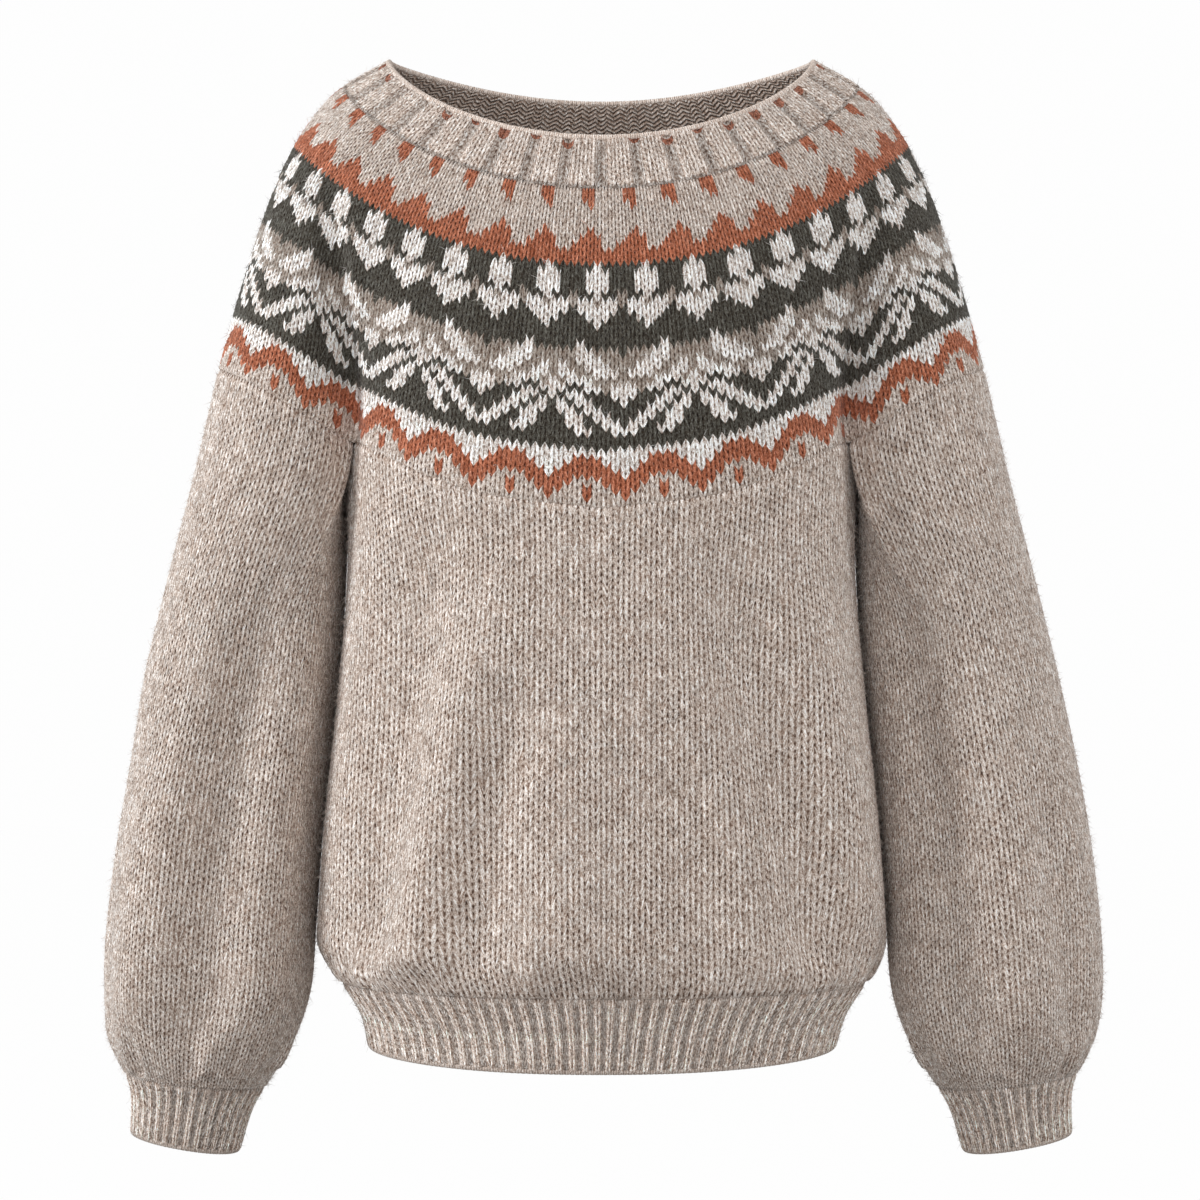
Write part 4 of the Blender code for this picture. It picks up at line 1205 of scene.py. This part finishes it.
neckband = knit_wall(
    "neckband_knit", neckband_form, NECK_RIBS, BROAD_RIB, NECK_COURSES, neck_colours,
    wall=RIB_WALL, inner_spans=12, seam_painted_shade=SEAM_PAINTED_SHADE, lining=YARNS["b"], seed=11)
neck_edge = cast_off("neckband_cast_off", neckband_form, True, RIB_WALL, NECK_LINKS,
                     NECK_CORD_RADIUS, NECK_CORD_PAINTED_LIGHT)
dress(neckband, "neckband", rib_wool, (0.79, 0.034), edges=[neck_edge])

# %% [markdown]
# The yoke carries the charts. It is knitted in one ring, so its pattern runs on over the
# shoulders, and only its lowest course turns in, where body and sleeves join it.
# %% Yoke
yoke = knit_wall("yoke_knit", yoke_form, YOKE_WALES, STOCKINETTE, YOKE_COURSES, yoke_colours,
                 inner_spans=16, level=(0, 1), edges=(None, TURNED_IN), tucked=True, seed=12)
dress(yoke, "yoke", colour_wool, (1.28, 0.195), area=0.210)

# %% [markdown]
# Body and sleeves are plain tubes in stockinette, each with its own size of stitch: the
# sleeves' stitches are a little smaller. They could share one tube with branches, but apart
# each keeps its own courses, which run straight round it.
# %% Body
BODY_WALES = 144
BODY_COURSES = 68
body = knit_wall("body_knit", body_form, BODY_WALES, STOCKINETTE, BODY_COURSES, one_yarn("b"),
                 level=(1, 0), edges=(JOIN_DEPTH, TURNED_IN), tucked=True, seed=13)
dress(body, "body", plain_wool, (1.00, 0.33))

# %% Sleeves
SLEEVE_WALES = 78
SLEEVE_COURSES = 94
SIDES = ((1, "left"), (-1, "right"))
for side, label in SIDES:
    sleeve = knit_wall(
        "sleeve_" + label + "_knit", partial(sleeve_form, side=side), SLEEVE_WALES, STOCKINETTE,
        SLEEVE_COURSES, one_yarn("b"), level=(1, 0), edges=(JOIN_DEPTH, TURNED_IN), tucked=True,
        seed=14 + side)
    dress(sleeve, "sleeve_" + label, plain_wool, (0.43, 0.41))

# %% [markdown]
# Narrow ribs draw the body in at the hip and the sleeves in at the wrists. They pull in because
# knit and purl stitches alternate, so from outside a rib is one raised V between two gutters.
# %% Hem rib and cuffs
RIB_CORD_RADIUS = 0.0015
# The hem and cuff cords face down, away from the light, and are painted darker: painted shade.
RIB_CORD_PAINTED_SHADE = 0.84

Rib = namedtuple("Rib", "node cord form ribs courses links flat seed")
RIBS = [Rib("hem_rib", "hem", hem_form, 100, 10, 246, (0.86, 0.045), 21)]
for side, label in SIDES:
    RIBS.append(Rib("cuff_" + label, "cuff_" + label, partial(cuff_form, side=side), 36, 9, 84,
                    (0.24, 0.040), 22 + side))
for rib in RIBS:
    knit = knit_wall(rib.node + "_knit", rib.form, rib.ribs, NARROW_RIB, rib.courses,
                     one_yarn("b"), wall=RIB_WALL, inner_spans=4, ease=2, tucked=True,
                     seed=rib.seed)
    cord = cast_off(rib.cord + "_cast_off", rib.form, False, RIB_WALL, rib.links,
                    RIB_CORD_RADIUS, RIB_CORD_PAINTED_SHADE)
    dress(knit, rib.node, fine_rib_wool, rib.flat, edges=[cord])

# %% [markdown]
# ## Floor, backdrop and light
# A studio hangs the garment before white paper that runs all round, so no corner shows behind
# it. The paper glows by itself and casts no light or shadow on the wool, which keeps it even.
# The light is soft: a bright room, a large key lamp at the left, and weaker ones in front and
# at the right that keep the shaded side readable.
# %% Stage
FLOOR_HEIGHT = -0.80
STAGE_RADIUS = 5.0
STAGE_HEIGHT = 9.0
PAPER_GLOW = 0.98

# Matt paper: no highlight at all, one even white.
paper, _, paper_shader = new_material("white_backdrop_paper")
paper_shader.inputs["Base Color"].default_value = (*linear("#202020"), 1.0)
paper_shader.inputs["Roughness"].default_value = 1.0
paper_shader.inputs["Specular IOR Level"].default_value = 0.0
paper_shader.inputs["Emission Color"].default_value = (1.0, 1.0, 1.0, 1.0)
paper_shader.inputs["Emission Strength"].default_value = PAPER_GLOW


def paper_stage(shape, name):
    shape.name = name
    shape.data.materials.append(paper)
    for ray in ("diffuse", "glossy", "transmission", "shadow"):
        setattr(shape, "visible_" + ray, False)


bpy.ops.object.select_all(action="DESELECT")
bpy.ops.mesh.primitive_circle_add(vertices=96, radius=STAGE_RADIUS, fill_type="NGON",
                                  location=(0.0, 0.0, FLOOR_HEIGHT))
paper_stage(bpy.context.object, "floor")
bpy.ops.object.select_all(action="DESELECT")
bpy.ops.mesh.primitive_cylinder_add(vertices=96, radius=STAGE_RADIUS, depth=STAGE_HEIGHT,
                                    end_fill_type="NOTHING",
                                    location=(0.0, 0.0, FLOOR_HEIGHT + STAGE_HEIGHT / 2))
paper_stage(bpy.context.object, "backdrop")
print("a stage", 2 * STAGE_RADIUS, "m wide and", STAGE_HEIGHT, "m high")

# %% Light
WORLD, KEY, FRONT, RIGHT = 0.44, 45.0, 28.0, 18.0
SKY_TINT = (1.0, 0.97, 0.945, 1.0)
MIDDLE = (0.0, 0.0, -0.32)

world = bpy.data.worlds.new("studio")
bpy.context.scene.world = world
world.use_nodes = True
world.node_tree.nodes["Background"].inputs["Color"].default_value = SKY_TINT
world.node_tree.nodes["Background"].inputs["Strength"].default_value = WORLD


def soft_lamp(name, location, aim, size, power):
    lamp = bpy.data.lights.new(name, "AREA")
    lamp.size = size
    lamp.energy = power
    holder = bpy.data.objects.new(name, lamp)
    holder.location = location
    holder.rotation_euler = (Vector(location) - Vector(aim)).to_track_quat("Z", "Y").to_euler()
    bpy.context.scene.collection.objects.link(holder)


soft_lamp("key", (-2.6, -0.95, 0.6), MIDDLE, 1.2, KEY)
soft_lamp("front", (-0.4, -3.0, 1.2), MIDDLE, 1.4, FRONT)
soft_lamp("right", (2.6, -0.8, 0.6), MIDDLE, 1.4, RIGHT)
bpy.context.scene.view_settings.view_transform = "Standard"
print("lit by a large key lamp at the left, a front lamp, a weak one at the right and the room")
